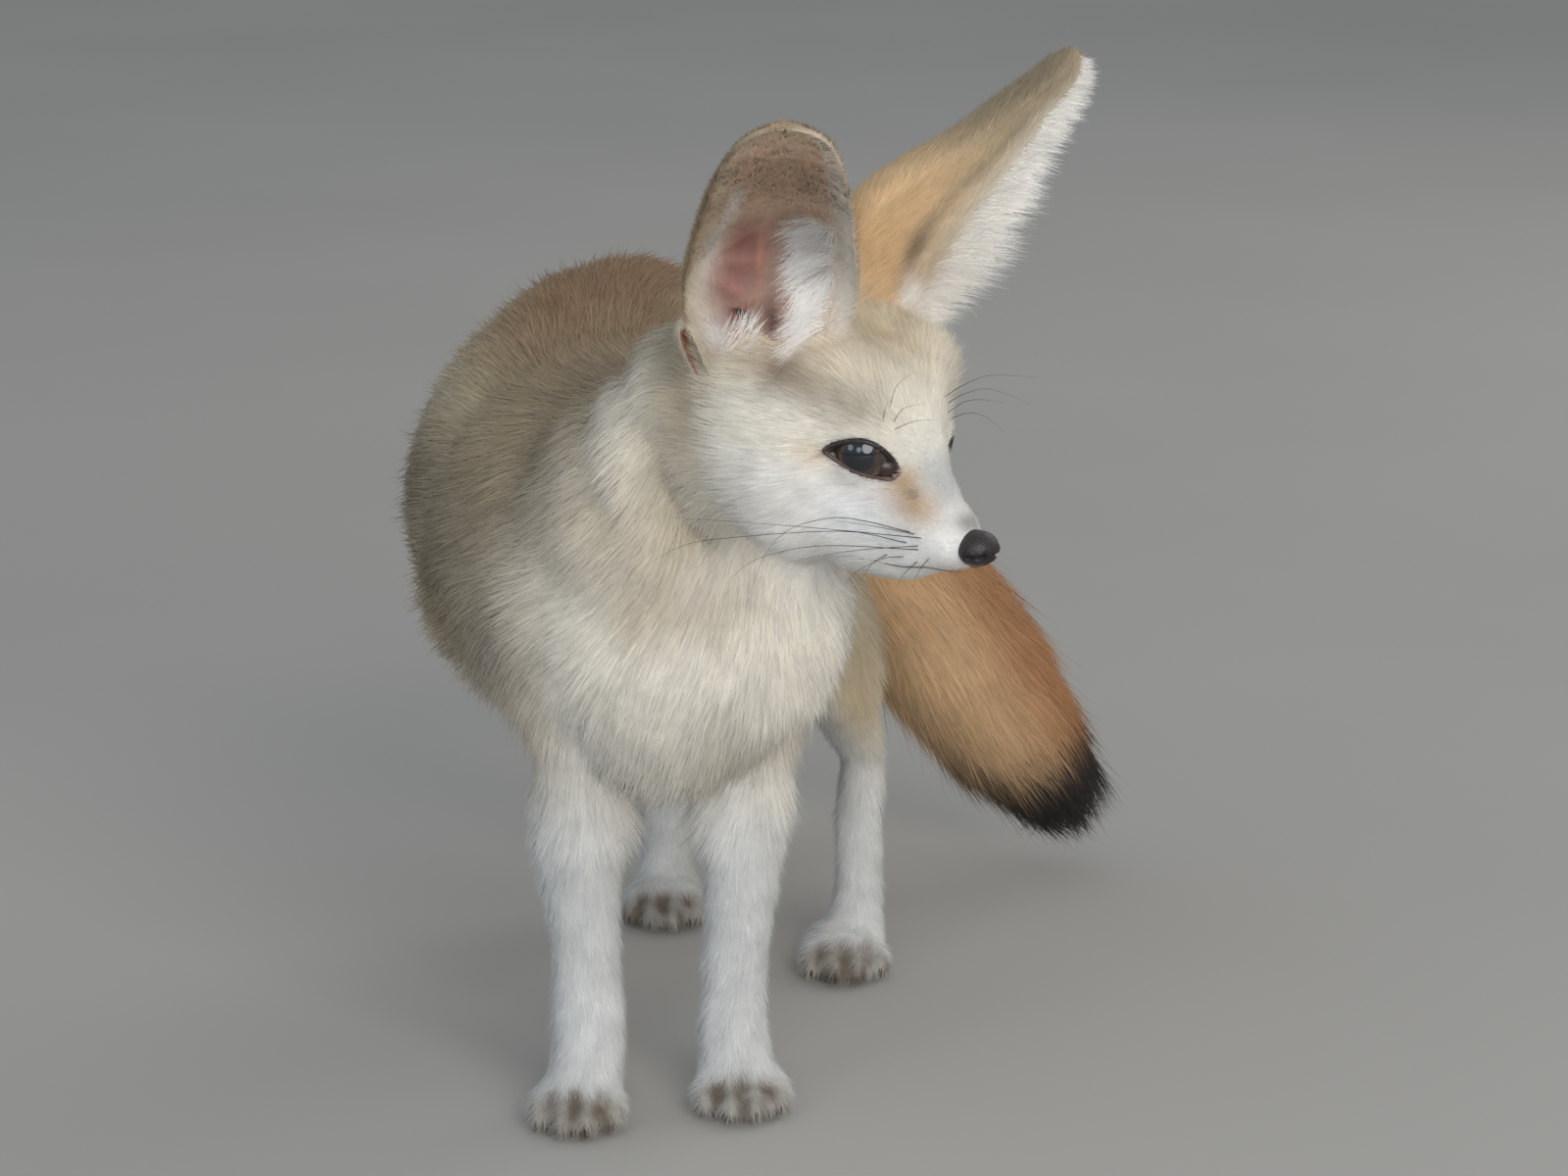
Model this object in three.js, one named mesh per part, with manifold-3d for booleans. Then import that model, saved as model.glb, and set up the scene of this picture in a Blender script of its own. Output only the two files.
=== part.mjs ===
// Fennec fox at life size, standing still with its head turned to its left.
// Millimetres, +Z up. The chest faces -Y, the fox's left side is +X, the paws stand on z = 0.

import * as THREE from 'three';
import { mergeVertices } from 'three/addons/utils/BufferGeometryUtils.js';
import Module from 'manifold-3d';

const wasm = await Module();
wasm.setup();

// Driving dimensions
const GAP = 0.3;
const FLOOR = { width: 900, thickness: 100 };

// The head hangs from the middle of the eyes, turned to the fox's left with its nose a little down.
const HEAD = { eyesAt: [57.6, -20, 200], yawDeg: 52, noseDownDeg: 13, rollDeg: -4.8 };
const EYE = { ahead: 0.8, aside: 12.7, radius: 9 };
const LID = { ahead: 3.4, aside: 20.6, halfLength: 10.2, halfHeight: 6, radius: 1.4 };
const MOUTH = { fromRow: 0.2, toRow: 4.6, rowStep: 0.55, belowDeg: 46, grooveRadius: 0.6, lipRadius: 1 };
const NOSTRIL = { at: [38.8, 2.9, -16.4], radius: 1.5, slitRadius: 0.6 };

// Each ear is a leaf of skin curled round its opening, with its own axis and facing in the head's frame.
const EAR = { length: 95, halfWidth: 23.5, cupDepth: 16, thickness: 3.2, bow: 5, tipBack: 3 };
const EARS = {
  left: { side: 1, base: [-23, 29, 21], axis: [0.17, 0.31, 0.92], facing: [0.45, 0.88, 0.1] },
  right: { side: -1, base: [-28, -26, 18], axis: [0.25, -0.58, 0.775], facing: [0.6, -0.78, 0.1] },
};

// Shares of the ear's half width and of its cup's depth, from its foot at 0 to its tip at 1.
const EAR_WIDTH = [[-0.15, 0.66], [0.05, 0.8], [0.36, 1], [0.6, 0.94], [0.82, 0.7], [0.93, 0.45], [1, 0.1]];
const EAR_DEPTH = [[-0.15, 0.9], [0.1, 1], [0.4, 0.95], [0.7, 0.6], [0.9, 0.25], [1, 0.08]];

// The long coat: how far the tips stand over the core, and the size of its locks.
const COAT = {
  torso: { depth: 8, length: 56, width: 35, thickness: 6 },
  chest: { depth: 7, length: 36, width: 22, thickness: 6 },
  neck: { depth: 7, length: 32, width: 28, thickness: 6 },
  tail: { depth: 13, length: 44, width: 27, thickness: 8 },
  cheek: { depth: 0.5, length: 25, width: 14, thickness: 4 },
};
const FRINGE = { count: 6, length: 13, width: 9, thickness: 2.2, from: 0.1, to: 0.82, root: 5 };

// The share of a thin part that stays core, however deep the coat
const LEAST_CORE = 0.45;

// Each row of a body line is x, y, z, then half width, reach upwards and reach downwards.
const TRUNK = [
  [2, -3, 138, 32, 30, 31],
  [0, 14, 140, 49, 42, 48],
  [-5, 40, 144, 57, 58, 56],
  [-20, 75, 150, 59, 61, 57],
  [-28, 112, 157, 57, 60, 55],
  [-20, 148, 161, 53, 55, 48],
  [-2, 176, 161, 43, 44, 37],
  [14, 195, 160, 26, 27, 24],
];

const NECK = [
  [-4, 38, 152, 48, 46, 42],
  [0, 24, 168, 44, 40, 40],
  [7, 14, 184, 39, 36, 36],
  [15, 7, 200, 34, 32, 33],
  [24, 1, 208, 29, 27, 29],
];

const CHEST = [
  [15, 8, 178, 34, 24, 22],
  [9, 6, 154, 42, 26, 24],
  [1, 8, 127, 37, 26, 24],
  [-4, 12, 106, 21, 20, 17],
];

// Head rows run from the nose to the nape in the head's own frame: forward, left and up from the eyes.
const SKULL = [
  [35.5, 0, -18.4, 5.6, 4.2, 5.4],
  [32, 0, -17.8, 7.8, 6.6, 7.6],
  [26.5, 0, -16.4, 9.4, 8.8, 11.6],
  [19.5, 0, -14.8, 10.4, 11.6, 16.6],
  [12, 0, -11.6, 12.6, 15, 24],
  [5, 0, -8, 17.2, 22, 30.5],
  [-3, 0, -5, 24.5, 26.4, 34.5],
  [-13, 0, -3.5, 32, 29.4, 36],
  [-26, 0, -2.5, 36, 29.8, 34],
  [-38, 0, -1, 34.5, 27, 29],
  [-48, 0, 1, 27, 20.5, 21],
  [-54, 0, 2, 17, 12, 13],
];

// The face swells away from a line this far under the eyes.
const FACE_AXIS_DEPTH = 6;

// Swellings and hollows of the face: forward, side, up, reach and push.
const FACE = [
  [1, 19, 16, 9, 5.8],
  [-8, 26, 22, 12, 8.5],
  [6, 17, 1, 7, -1.6],
  [14, 9, 6, 6.5, -2.6],
  [-8, 31, -9, 11, 2.2],
  [29, 7.5, -20, 6, 1],
  [10, 0, 9, 7, -1],
];

const FORELEGS = {
  left: {
    leg: [
      [22, 26, 122, 22, 26, 24],
      [20, 22, 102, 15, 17, 16],
      [19, 20, 90, 13.8, 14, 13],
      [17.8, 19, 76, 12.8, 12.4, 11.8],
      [16.6, 18.5, 56, 11, 10.4, 10],
      [15.9, 18, 36, 10.3, 9.6, 9.6],
      [15.6, 16.5, 20, 10.8, 9.8, 10.4],
      [16.2, 14, 9, 11.2, 9, 11],
    ],
    paw: [17.4, 12],
    turnDeg: 4,
  },
  right: {
    leg: [
      [-30, 22, 122, 22, 26, 24],
      [-29, 18, 102, 15.4, 17, 16],
      [-28, 16.5, 90, 14.4, 14, 13],
      [-27.6, 16, 76, 13.6, 12.4, 11.8],
      [-27, 15.5, 56, 11.4, 10.4, 10],
      [-26.4, 14.5, 36, 10.6, 9.6, 9.6],
      [-25.6, 11, 20, 11, 9.8, 10.4],
      [-26.6, 6, 9, 11.4, 9, 11],
    ],
    paw: [-27.8, 1],
    turnDeg: -3,
  },
};

const HINDLEGS = {
  left: {
    leg: [
      [12, 155, 146, 17, 22, 24],
      [31, 144, 121, 20, 28, 27],
      [43, 137, 99, 16, 23, 21],
      [48, 142, 82, 12, 16, 14],
      [54.5, 149, 64, 8.6, 10, 9],
      [54.5, 148, 54, 8.5, 9, 8.6],
      [53.4, 141, 36, 8.4, 8.2, 8.4],
      [53, 135, 18, 8.8, 8.4, 9],
      [52, 131, 9, 10.4, 8.6, 10],
    ],
    paw: [48.4, 125],
    turnDeg: 3,
  },
  right: {
    leg: [
      [-20, 168, 146, 17, 22, 24],
      [-31, 165, 120, 18, 27, 26],
      [-30, 166, 98, 14, 21, 21],
      [-21, 180, 80, 10.4, 15, 14],
      [-12, 195, 64, 8.6, 10, 9],
      [-10, 196, 54, 8.5, 9, 8.6],
      [-9, 190, 36, 8.4, 8.2, 8.4],
      [-8.5, 185, 18, 8.8, 8.4, 9],
      [-8.5, 181, 9, 10.4, 8.6, 10],
    ],
    paw: [-8, 175],
    turnDeg: -4,
  },
};

const PAW = {
  toeSpacing: 7.1,
  toeSize: [3.5, 8.4, 5.8],
  toeRise: 5.1,
  reach: 12.5,
  outerToesBack: 5,
};

// A claw's root, bend and tip, each ahead of the toe's middle and over the floor
const CLAW = [[5, 5.8], [8.5, 5], [10.8, 2.2]];
const CLAW_RADIUS = 1.4;

// Where the whole animal is parted: places on the head and neck, heights on the legs, rows of body lines
const CUTS = {
  nape: { at: [-41, 0, -15], normal: [-0.74, 0, -0.67], width: 130 },
  collar: { at: [0, 14, 180], normal: [0, -0.6, 0.8], width: 150 },
  loin: { row: 3.5, width: 170 },
  tail: [{ row: 1.15, width: 70 }, { row: 4.1, width: 110 }, { row: 7.2, width: 90 }],
  foreleg: [{ height: 90, width: 44 }, { height: 19, width: 40 }],
  hip: { row: 1.6, width: 76 },
  hindleg: [{ height: 59, width: 44 }, { height: 17, width: 40 }],
};

const TAIL = [
  [12, 193, 166, 11, 11, 11],
  [27, 205, 155, 17, 17, 17],
  [44, 212, 136, 24, 24, 24],
  [61, 216, 114, 29, 29, 29],
  [77, 219, 91, 31.5, 31.5, 31.5],
  [92, 221, 67, 31, 31, 31],
  [106, 222, 48, 27, 27, 27],
  [119, 222, 33, 21, 21, 20],
  [131, 222, 22.5, 13, 13, 13],
  [139, 222, 17, 5.5, 5.5, 5.5],
];

// Small vector helpers
const X = new THREE.Vector3(1, 0, 0);
const { MathUtils } = THREE;
const { degToRad, clamp, smoothstep, lerp } = MathUtils;

function vec(numbers) {
  return new THREE.Vector3(...numbers);
}

function direction(numbers) {
  return vec(numbers).normalize();
}

// A table of values from 0 to 1, read between its entries.
function profile(pairs, t) {
  const next = pairs.findIndex(([at]) => at >= t);
  if (next <= 0) return pairs[next === 0 ? 0 : pairs.length - 1][1];
  const [t0, value0] = pairs[next - 1];
  const [t1, value1] = pairs[next];
  const f = (t - t0) / (t1 - t0);
  return lerp(value0, value1, f * f * (3 - 2 * f));
}

// The rows read as one smooth curve, with t counting the rows from 0.
function readRows(rows, t) {
  const last = rows.length - 1;
  const i = clamp(Math.floor(t), 0, last - 1);
  const f = t - i;
  const row = (k) => rows[clamp(k, 0, last)];
  const [before, from, to, after] = [row(i - 1), row(i), row(i + 1), row(i + 2)];
  return from.map((value, k) => {
    const slopeFrom = (to[k] - before[k]) / 2;
    const slopeTo = (after[k] - value) / 2;
    const rise = to[k] - value;
    const square = 3 * rise - 2 * slopeFrom - slopeTo;
    const cube = slopeFrom + slopeTo - 2 * rise;
    return value + f * (slopeFrom + f * (square + f * cube));
  });
}

// A rounded body along a line of rows. at(t, angle, grow) is a point of its surface.
function loft(rows, side = X, fullness = 1) {
  const last = rows.length - 1;
  const centre = (t) => vec(readRows(rows, clamp(t, 0, last)).slice(0, 3));
  function frame(t) {
    const inside = clamp(t, 0, last);
    const near = clamp(inside, 0.05, last - 0.05);
    const tangent = centre(near + 0.05).sub(centre(near - 0.05));
    const pace = tangent.length() / 0.1;
    tangent.normalize();
    const across = side.clone().addScaledVector(tangent, -side.dot(tangent)).normalize();
    const up = across.clone().cross(tangent);
    const middle = centre(inside).addScaledVector(tangent, (t - inside) * pace);
    return { middle, tangent, across, up, pace };
  }
  function at(t, angle, grow = 0) {
    const { middle, across, up } = frame(t);
    const [, , , half, above, below] = readRows(rows, clamp(t, 0, last));
    const reach = Math.sin(angle) > 0 ? above : below;
    const round = (value) => Math.sign(value) * Math.abs(value) ** fullness;
    return middle
      .addScaledVector(across, round(Math.cos(angle)) * Math.max(half + grow, half * LEAST_CORE))
      .addScaledVector(up, round(Math.sin(angle)) * Math.max(reach + grow, reach * LEAST_CORE));
  }
  return { rows, last, frame, at };
}

// The closed skin of a loft with a dome at each end, as rings of points from end to end.
function loftGeometry(body, { rings, around, grow = 0, domes = [8, 8], domeRings = 2, shape = (p) => p }) {
  const points = [];
  const ring = (t, scale, shift) => {
    const { middle, tangent } = body.frame(t);
    for (let j = 0; j < around; j += 1) {
      const point = body.at(t, (j / around) * 2 * Math.PI, grow).sub(middle).multiplyScalar(scale);
      points.push(shape(point.add(middle).addScaledVector(tangent, shift)));
    }
  };
  const pole = (t, shift) => {
    const { middle, tangent } = body.frame(t);
    points.push(shape(middle.addScaledVector(tangent, shift)));
  };
  pole(0, -domes[0] - grow);
  for (let k = domeRings; k > 0; k -= 1) {
    const lean = (k / (domeRings + 1)) * (Math.PI / 2);
    ring(0, Math.cos(lean), -(domes[0] + grow) * Math.sin(lean));
  }
  for (let i = 0; i < rings; i += 1) ring((i / (rings - 1)) * body.last, 1, 0);
  for (let k = 1; k <= domeRings; k += 1) {
    const lean = (k / (domeRings + 1)) * (Math.PI / 2);
    ring(body.last, Math.cos(lean), (domes[1] + grow) * Math.sin(lean));
  }
  pole(body.last, domes[1] + grow);
  return ringGeometry(points, rings + 2 * domeRings, around);
}

// Rings of points between two poles, joined into a closed skin.
function ringGeometry(points, ringCount, around) {
  const faces = [];
  const index = (i, j) => 1 + i * around + (j % around);
  const end = points.length - 1;
  for (let j = 0; j < around; j += 1) {
    faces.push(0, index(0, j + 1), index(0, j));
    faces.push(end, index(ringCount - 1, j), index(ringCount - 1, j + 1));
    for (let i = 0; i < ringCount - 1; i += 1) {
      faces.push(index(i, j), index(i, j + 1), index(i + 1, j));
      faces.push(index(i, j + 1), index(i + 1, j + 1), index(i + 1, j));
    }
  }
  return meshGeometry(points, faces);
}

function meshGeometry(points, faces) {
  const geometry = new THREE.BufferGeometry();
  const coordinates = points.flatMap((point) => point.toArray());
  geometry.setAttribute('position', new THREE.Float32BufferAttribute(coordinates, 3));
  geometry.setIndex(faces);
  return geometry;
}

// Six times the volume inside a closed skin, negative where its faces point in.
function signedVolume(geometry) {
  const position = geometry.getAttribute('position');
  const index = geometry.getIndex().array;
  const corner = (k) => new THREE.Vector3().fromBufferAttribute(position, index[k]);
  let sum = 0;
  for (let k = 0; k < index.length; k += 3) sum += corner(k).dot(corner(k + 1).cross(corner(k + 2)));
  return sum;
}

// A closed geometry as a solid for joining and cutting.
function solid(geometry, matrix = new THREE.Matrix4()) {
  const bare = new THREE.BufferGeometry();
  bare.setAttribute('position', geometry.getAttribute('position').clone());
  if (geometry.getIndex()) bare.setIndex(geometry.getIndex().clone());
  const merged = mergeVertices(bare.applyMatrix4(matrix), 1e-4);
  const index = merged.getIndex().array;
  const order = signedVolume(merged) < 0 ? [0, 2, 1] : [0, 1, 2];
  const triVerts = Uint32Array.from(index, (_, k) => index[k - (k % 3) + order[k % 3]]);
  const vertProperties = new Float32Array(merged.getAttribute('position').array);
  return new wasm.Manifold(new wasm.Mesh({ numProp: 3, vertProperties, triVerts }));
}

function union(solids) {
  return wasm.Manifold.union(solids);
}

// The largest closed surface of a solid, which drops loose scraps and fills sealed hollows.
function largest(whole) {
  return whole.decompose().reduce((best, next) => (next.volume() > best.volume() ? next : best));
}

function geometryOf(shape) {
  const { vertProperties, triVerts } = shape.getMesh();
  const geometry = new THREE.BufferGeometry();
  geometry.setAttribute('position', new THREE.BufferAttribute(new Float32Array(vertProperties), 3));
  geometry.setIndex(new THREE.BufferAttribute(new Uint32Array(triVerts), 1));
  return geometry;
}

// A flat box whose thin side lies along the normal, for parting two nodes.
function slab(centre, normal, width, depth = width, thickness = GAP) {
  const turn = new THREE.Quaternion().setFromUnitVectors(new THREE.Vector3(0, 0, 1), normal);
  const matrix = new THREE.Matrix4().compose(centre, turn, new THREE.Vector3(1, 1, 1));
  return solid(new THREE.BoxGeometry(width, depth, thickness), matrix);
}

function ball(centre, radius, detail = 16, stretch = [1, 1, 1]) {
  const matrix = new THREE.Matrix4().makeTranslation(centre).scale(vec(stretch));
  return solid(new THREE.SphereGeometry(radius, detail, Math.round(detail * 0.6)), matrix);
}

// A round rod along a smooth curve through some points.
function rod(points, radius, steps, sides = 6) {
  const ring = new THREE.Shape();
  ring.absarc(0, 0, radius, 0, 2 * Math.PI);
  const extrudePath = new THREE.CatmullRomCurve3(points);
  return solid(new THREE.ExtrudeGeometry(ring, { extrudePath, steps, curveSegments: sides / 2 }));
}

// A flat tapered blade with a low ridge, through stations that each give its centre, width and height.
function bladeSolid(stations, tip) {
  const points = [];
  for (const { centre, across, normal, half, thick } of stations) {
    points.push(centre.clone().addScaledVector(across, half).addScaledVector(normal, -thick / 2));
    points.push(centre.clone().addScaledVector(normal, thick));
    points.push(centre.clone().addScaledVector(across, -half).addScaledVector(normal, -thick / 2));
  }
  points.push(tip);
  const sides = 3;
  const end = points.length - 1;
  const faces = [0, 1, 2];
  for (let k = 0; k < sides; k += 1) {
    const next = (k + 1) % sides;
    for (let i = 0; i < stations.length - 1; i += 1) {
      const [a, b, c, d] = [i * sides + k, i * sides + next, (i + 1) * sides + k, (i + 1) * sides + next];
      faces.push(a, c, b, b, c, d);
    }
    faces.push(end - sides + k, end, end - sides + next);
  }
  return solid(meshGeometry(points, faces));
}

// A lock that lies along a body, from its root under the core out to its tip at the coat's edge.
// lie is the lock's heading on the surface, 0 along the body and 90 degrees round it.
const LOCK_ROOT = 4;
const LOCK_FORM = [[0, 0, 0.72, 0.9], [0.34, 0.62, 1, 1], [0.72, 0.94, 0.66, 0.7]];

function lockSolid(body, coat, { t, angle, lie, size = 1, lift = 0 }) {
  const step = 0.05;
  const here = body.at(t, angle);
  const perMmAlong = step / body.at(t + step, angle).distanceTo(here);
  const perMmAround = step / body.at(t, angle + step).distanceTo(here);
  const length = coat.length * size;
  const point = (s, rise) => {
    const grow = (rise - 1) * coat.depth + (rise < 1 ? (rise - 1) * LOCK_ROOT : 0) + lift * s;
    const ahead = Math.min(t + Math.cos(lie) * length * s * perMmAlong, body.last + 0.45);
    return body.at(ahead, angle + Math.sin(lie) * length * s * perMmAround, grow);
  };
  const stations = LOCK_FORM.map(([s, rise, width, thickness]) => {
    const centre = point(s, rise);
    const along = point(s + 0.1, rise).sub(centre).normalize();
    const outward = point(s, rise + 0.5).sub(centre).normalize();
    const across = outward.clone().cross(along).normalize();
    const normal = along.clone().cross(across);
    const half = (coat.width * size * width) / 2;
    return { centre, across, normal, half, thick: (coat.thickness * thickness) / 2 };
  });
  return bladeSolid(stations, point(1, 1));
}

// Rows of locks along a body, each row set between the locks of the last one, varied as real ones are.
function coatSolids(body, coat, form) {
  const { from, to, rows, around, angles = [0, 360], lie, seed, keep = () => true } = form;
  const locks = [];
  MathUtils.seededRandom(seed);
  for (let i = 0; i < rows; i += 1) {
    const [start, end] = angles.map(degToRad);
    for (let j = 0; j < around; j += 1) {
      const [a, b, c, d] = [0, 0, 0, 0].map(() => MathUtils.seededRandom() - 0.5);
      const t = lerp(from, to, clamp((i + 0.25 * a) / (rows - 1), 0, 1));
      const angle = lerp(start, end, (j + (i % 2) / 2 + 0.25 + 0.2 * b) / around);
      if (!keep(body.at(t, angle))) continue;
      const heading = lie(t, angle) + degToRad(10) * c;
      locks.push(lockSolid(body, coat, { t, angle, lie: heading, size: 1 + 0.22 * d, lift: 1.2 * a }));
    }
  }
  return locks;
}

// The head's own frame, with its forward, left and up directions and the middle of the eyes.
const headFrame = (() => {
  const yaw = degToRad(HEAD.yawDeg);
  const down = degToRad(HEAD.noseDownDeg);
  const roll = degToRad(HEAD.rollDeg);
  const forward = vec([Math.sin(yaw) * Math.cos(down), -Math.cos(yaw) * Math.cos(down), -Math.sin(down)]);
  const level = vec([Math.cos(yaw), Math.sin(yaw), 0]);
  const upright = forward.clone().cross(level);
  const left = level.clone().multiplyScalar(Math.cos(roll)).addScaledVector(upright, Math.sin(roll));
  const up = forward.clone().cross(left);
  return new THREE.Matrix4().makeBasis(forward, left, up).setPosition(vec(HEAD.eyesAt));
})();

function onHead(numbers) {
  return vec(numbers).applyMatrix4(headFrame);
}

function headDirection(numbers) {
  return direction(numbers).transformDirection(headFrame);
}

// The swellings and hollows of the face, pushed out from the line of the head.
function shapeFace(point) {
  const pushed = point.clone();
  const outward = new THREE.Vector3(0, point.y, point.z + FACE_AXIS_DEPTH).normalize();
  for (const [forward, side, up, reach, push] of FACE) {
    const mirrors = side === 0 ? [0] : [side, -side];
    for (const y of mirrors) {
      const distance = point.distanceTo(vec([forward, y, up]));
      pushed.addScaledVector(outward, push * Math.exp(-((distance / reach) ** 2)));
    }
  }
  return pushed;
}

const HEAD_SIDE = new THREE.Vector3(0, 1, 0);
const skull = loft(SKULL, HEAD_SIDE);

function skullSolid(grow = 0) {
  const geometry = loftGeometry(skull, { rings: 22, around: 20, grow, domes: [2.5, 4], shape: shapeFace });
  return solid(geometry, headFrame);
}

// One eyeball, set so deep that only its front shows between the lids.
function eyeSolid(side, grow = 0) {
  return ball(onHead([EYE.ahead, side * EYE.aside, 0]), EYE.radius + grow, 12);
}

// The lids are a raised rim round the almond opening, its corners drawn out fore and aft.
function lidSolid(side) {
  const rim = [];
  const steps = 14;
  for (let k = 0; k < steps; k += 1) {
    const turn = (k / steps) * 2 * Math.PI;
    const along = Math.cos(turn) * LID.halfLength;
    const lift = Math.sin(turn) * LID.halfHeight;
    const aside = LID.aside - 0.055 * along ** 2 - 0.02 * lift ** 2 - 0.42 * along;
    rim.push(onHead([LID.ahead + 0.74 * along, side * aside, lift - 0.1 * along]));
  }
  rim.push(rim[0].clone());
  return rod(rim, LID.radius, steps, 4);
}

// The mouth is a fine groove along each side of the muzzle, under the edge of the upper lip.
function mouthPoints(side, raiseDeg, grow) {
  const points = [];
  for (let t = MOUTH.fromRow; t <= MOUTH.toRow; t += MOUTH.rowStep) {
    const below = degToRad(raiseDeg - MOUTH.belowDeg + 7 * Math.sin(t * 0.9));
    const angle = side > 0 ? below : Math.PI - below;
    points.push(shapeFace(skull.at(t, angle, grow)).applyMatrix4(headFrame));
  }
  return points;
}

function noseSolid() {
  const pad = [
    [31.5, 0, -16.4, 4.6, 4.2, 4.4],
    [35.2, 0, -16.6, 6.2, 5, 5.6],
    [38, 0, -17, 5.2, 4, 4.8],
  ];
  const form = { rings: 3, around: 10, domes: [1, 1.2], domeRings: 1 };
  const nose = solid(loftGeometry(loft(pad, HEAD_SIDE), form), headFrame);
  const openings = [1, -1].flatMap((side) => {
    const [ahead, aside, up] = NOSTRIL.at;
    const start = onHead([ahead, side * (aside + 0.5), up - 0.2]);
    const end = onHead([ahead - 2.6, side * (aside + 3.7), up - 1.2]);
    return [
      ball(onHead([ahead, side * aside, up]), NOSTRIL.radius, 6, [1, 1, 0.8]),
      rod([start, end], NOSTRIL.slitRadius, 1, 4),
    ];
  });
  return nose.subtract(union(openings));
}

// The root, axis, opening and front edge of an ear
function earFrame({ side, base, axis, facing }) {
  const up = headDirection(axis);
  const open = headDirection(facing);
  open.addScaledVector(up, -open.dot(up)).normalize();
  const front = open.clone().cross(up).multiplyScalar(side);
  return { root: onHead(base), up, open, front };
}

// A point of the ear, u from the rear edge at -1 to the front edge at 1, v up the ear.
function earPoint({ root, up, open, front }, u, v, inner) {
  const half = EAR.halfWidth * profile(EAR_WIDTH, v);
  const depth = EAR.cupDepth * profile(EAR_DEPTH, v) * (1 - Math.abs(u) ** 2.3);
  const wall = EAR.thickness * Math.min(1, 1.6 - 0.8 * v);
  const hollow = Math.max(depth - wall, 0) * smoothstep(v, 0.02, 0.32);
  const bow = EAR.bow * Math.sin(Math.PI * clamp(v, 0, 1)) - EAR.tipBack * v;
  return root
    .clone()
    .addScaledVector(up, EAR.length * v)
    .addScaledVector(front, half * u + EAR.tipBack * v)
    .addScaledVector(open, (inner ? wall / 2 - hollow : -wall / 2 - depth) - bow);
}

// The ear as rings that run over its back and return through its cup, closer together at the tip
function earSolid(name) {
  const frame = earFrame(EARS[name]);
  const [rows, columns] = [9, 7];
  const [foot, tip] = [-0.14, 0.995];
  const around = 2 * (columns + 1);
  const mean = (ring) => ring.reduce((sum, p) => sum.add(p), new THREE.Vector3()).divideScalar(around);
  const points = [];
  for (let i = 0; i <= rows; i += 1) {
    const v = lerp(foot, tip, Math.sin((i / rows) * (Math.PI / 2)) ** 1.1);
    for (let j = 0; j <= columns; j += 1) points.push(earPoint(frame, -1 + (2 * j) / columns, v, false));
    for (let j = columns; j >= 0; j -= 1) points.push(earPoint(frame, -1 + (2 * j) / columns, v, true));
  }
  const bottom = mean(points.slice(0, around));
  const top = mean(points.slice(-around)).addScaledVector(frame.up, 0.8);
  return solid(ringGeometry([bottom, ...points, top], rows + 1, around));
}

// The fringe along the front edge of an ear, longest near its foot
function fringeSolids(name) {
  const frame = earFrame(EARS[name]);
  const locks = [];
  for (let k = 0; k < FRINGE.count; k += 1) {
    const v = lerp(FRINGE.from, FRINGE.to, k / FRINGE.count);
    const length = FRINGE.length * (1 - 0.5 * v);
    const root = earPoint(frame, 0.8, v, false).addScaledVector(frame.open, EAR.thickness / 2);
    const rise = frame.up.clone().multiplyScalar(0.75).addScaledVector(frame.open, 0.35);
    const heading = frame.front.clone().add(rise).normalize();
    const across = frame.open.clone().cross(heading).normalize();
    const normal = heading.clone().cross(across);
    const station = (ahead, width, thickness) => ({
      centre: root.clone().addScaledVector(heading, ahead),
      across,
      normal,
      half: (FRINGE.width * width) / 2,
      thick: (FRINGE.thickness * thickness) / 2,
    });
    const reach = length + FRINGE.root;
    const stations = [station(0, 0.8, 1), station(reach * 0.57, 0.8, 0.9)];
    locks.push(bladeSolid(stations, root.clone().addScaledVector(heading, reach)));
  }
  return locks;
}

// Limbs
function limbSolid({ leg }) {
  return solid(loftGeometry(loft(leg), { rings: 9, around: 8, domes: [6, 3], domeRings: 1 }));
}

// A paw of four toes with claws, rounded over the top, its pads flat on the floor.
function pawSolid({ paw, turnDeg }) {
  const [x, y] = paw;
  const matrix = new THREE.Matrix4().makeRotationZ(degToRad(turnDeg)).setPosition(x, y, 0);
  const place = (...numbers) => vec(numbers).applyMatrix4(matrix);
  const palm = loft([
    [...place(0, 12, 7).toArray(), 9, 6, 7],
    [...place(0, 4, 7.4).toArray(), 12, 8, 8],
    [...place(0, -6, 7).toArray(), 13, 6.4, 7.6],
  ]);
  const pieces = [solid(loftGeometry(palm, { rings: 3, around: 8, domes: [4, 3], domeRings: 1 }))];
  for (const step of [-1.5, -0.5, 0.5, 1.5]) {
    const outer = Math.abs(step) > 1;
    const aside = step * PAW.toeSpacing;
    const tip = outer ? PAW.outerToesBack - PAW.reach : -PAW.reach;
    pieces.push(ball(place(aside, tip, PAW.toeRise), 1, 6, PAW.toeSize));
    pieces.push(clawSolid(...CLAW.map(([ahead, up]) => place(aside, tip - ahead, up))));
  }
  return union(pieces);
}

function clawSolid(root, bend, tip) {
  const along = tip.clone().sub(root).normalize();
  const across = new THREE.Vector3(0, 0, 1).cross(along).normalize();
  const normal = along.clone().cross(across);
  const station = (centre, scale) => {
    return { centre, across, normal, half: CLAW_RADIUS * 0.8 * scale, thick: CLAW_RADIUS * scale };
  };
  return bladeSolid([station(root, 1), station(bend, 0.75)], tip);
}

// The long coat of the body, as a core under locks that reach out to the coat's edge
const trunk = loft(TRUNK, X, 0.86);
const chest = loft(CHEST);
const neck = loft(NECK);
const tail = loft(TAIL);

function coreSolid(body, coat, form) {
  return solid(loftGeometry(body, { grow: -coat.depth, ...form }));
}

// The trunk's locks run back and sink down the flanks, so they part along the back and the belly.
function trunkLie(t, angle) {
  const sag = degToRad(22 + 5 * t);
  return -Math.cos(angle) * sag;
}

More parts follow.
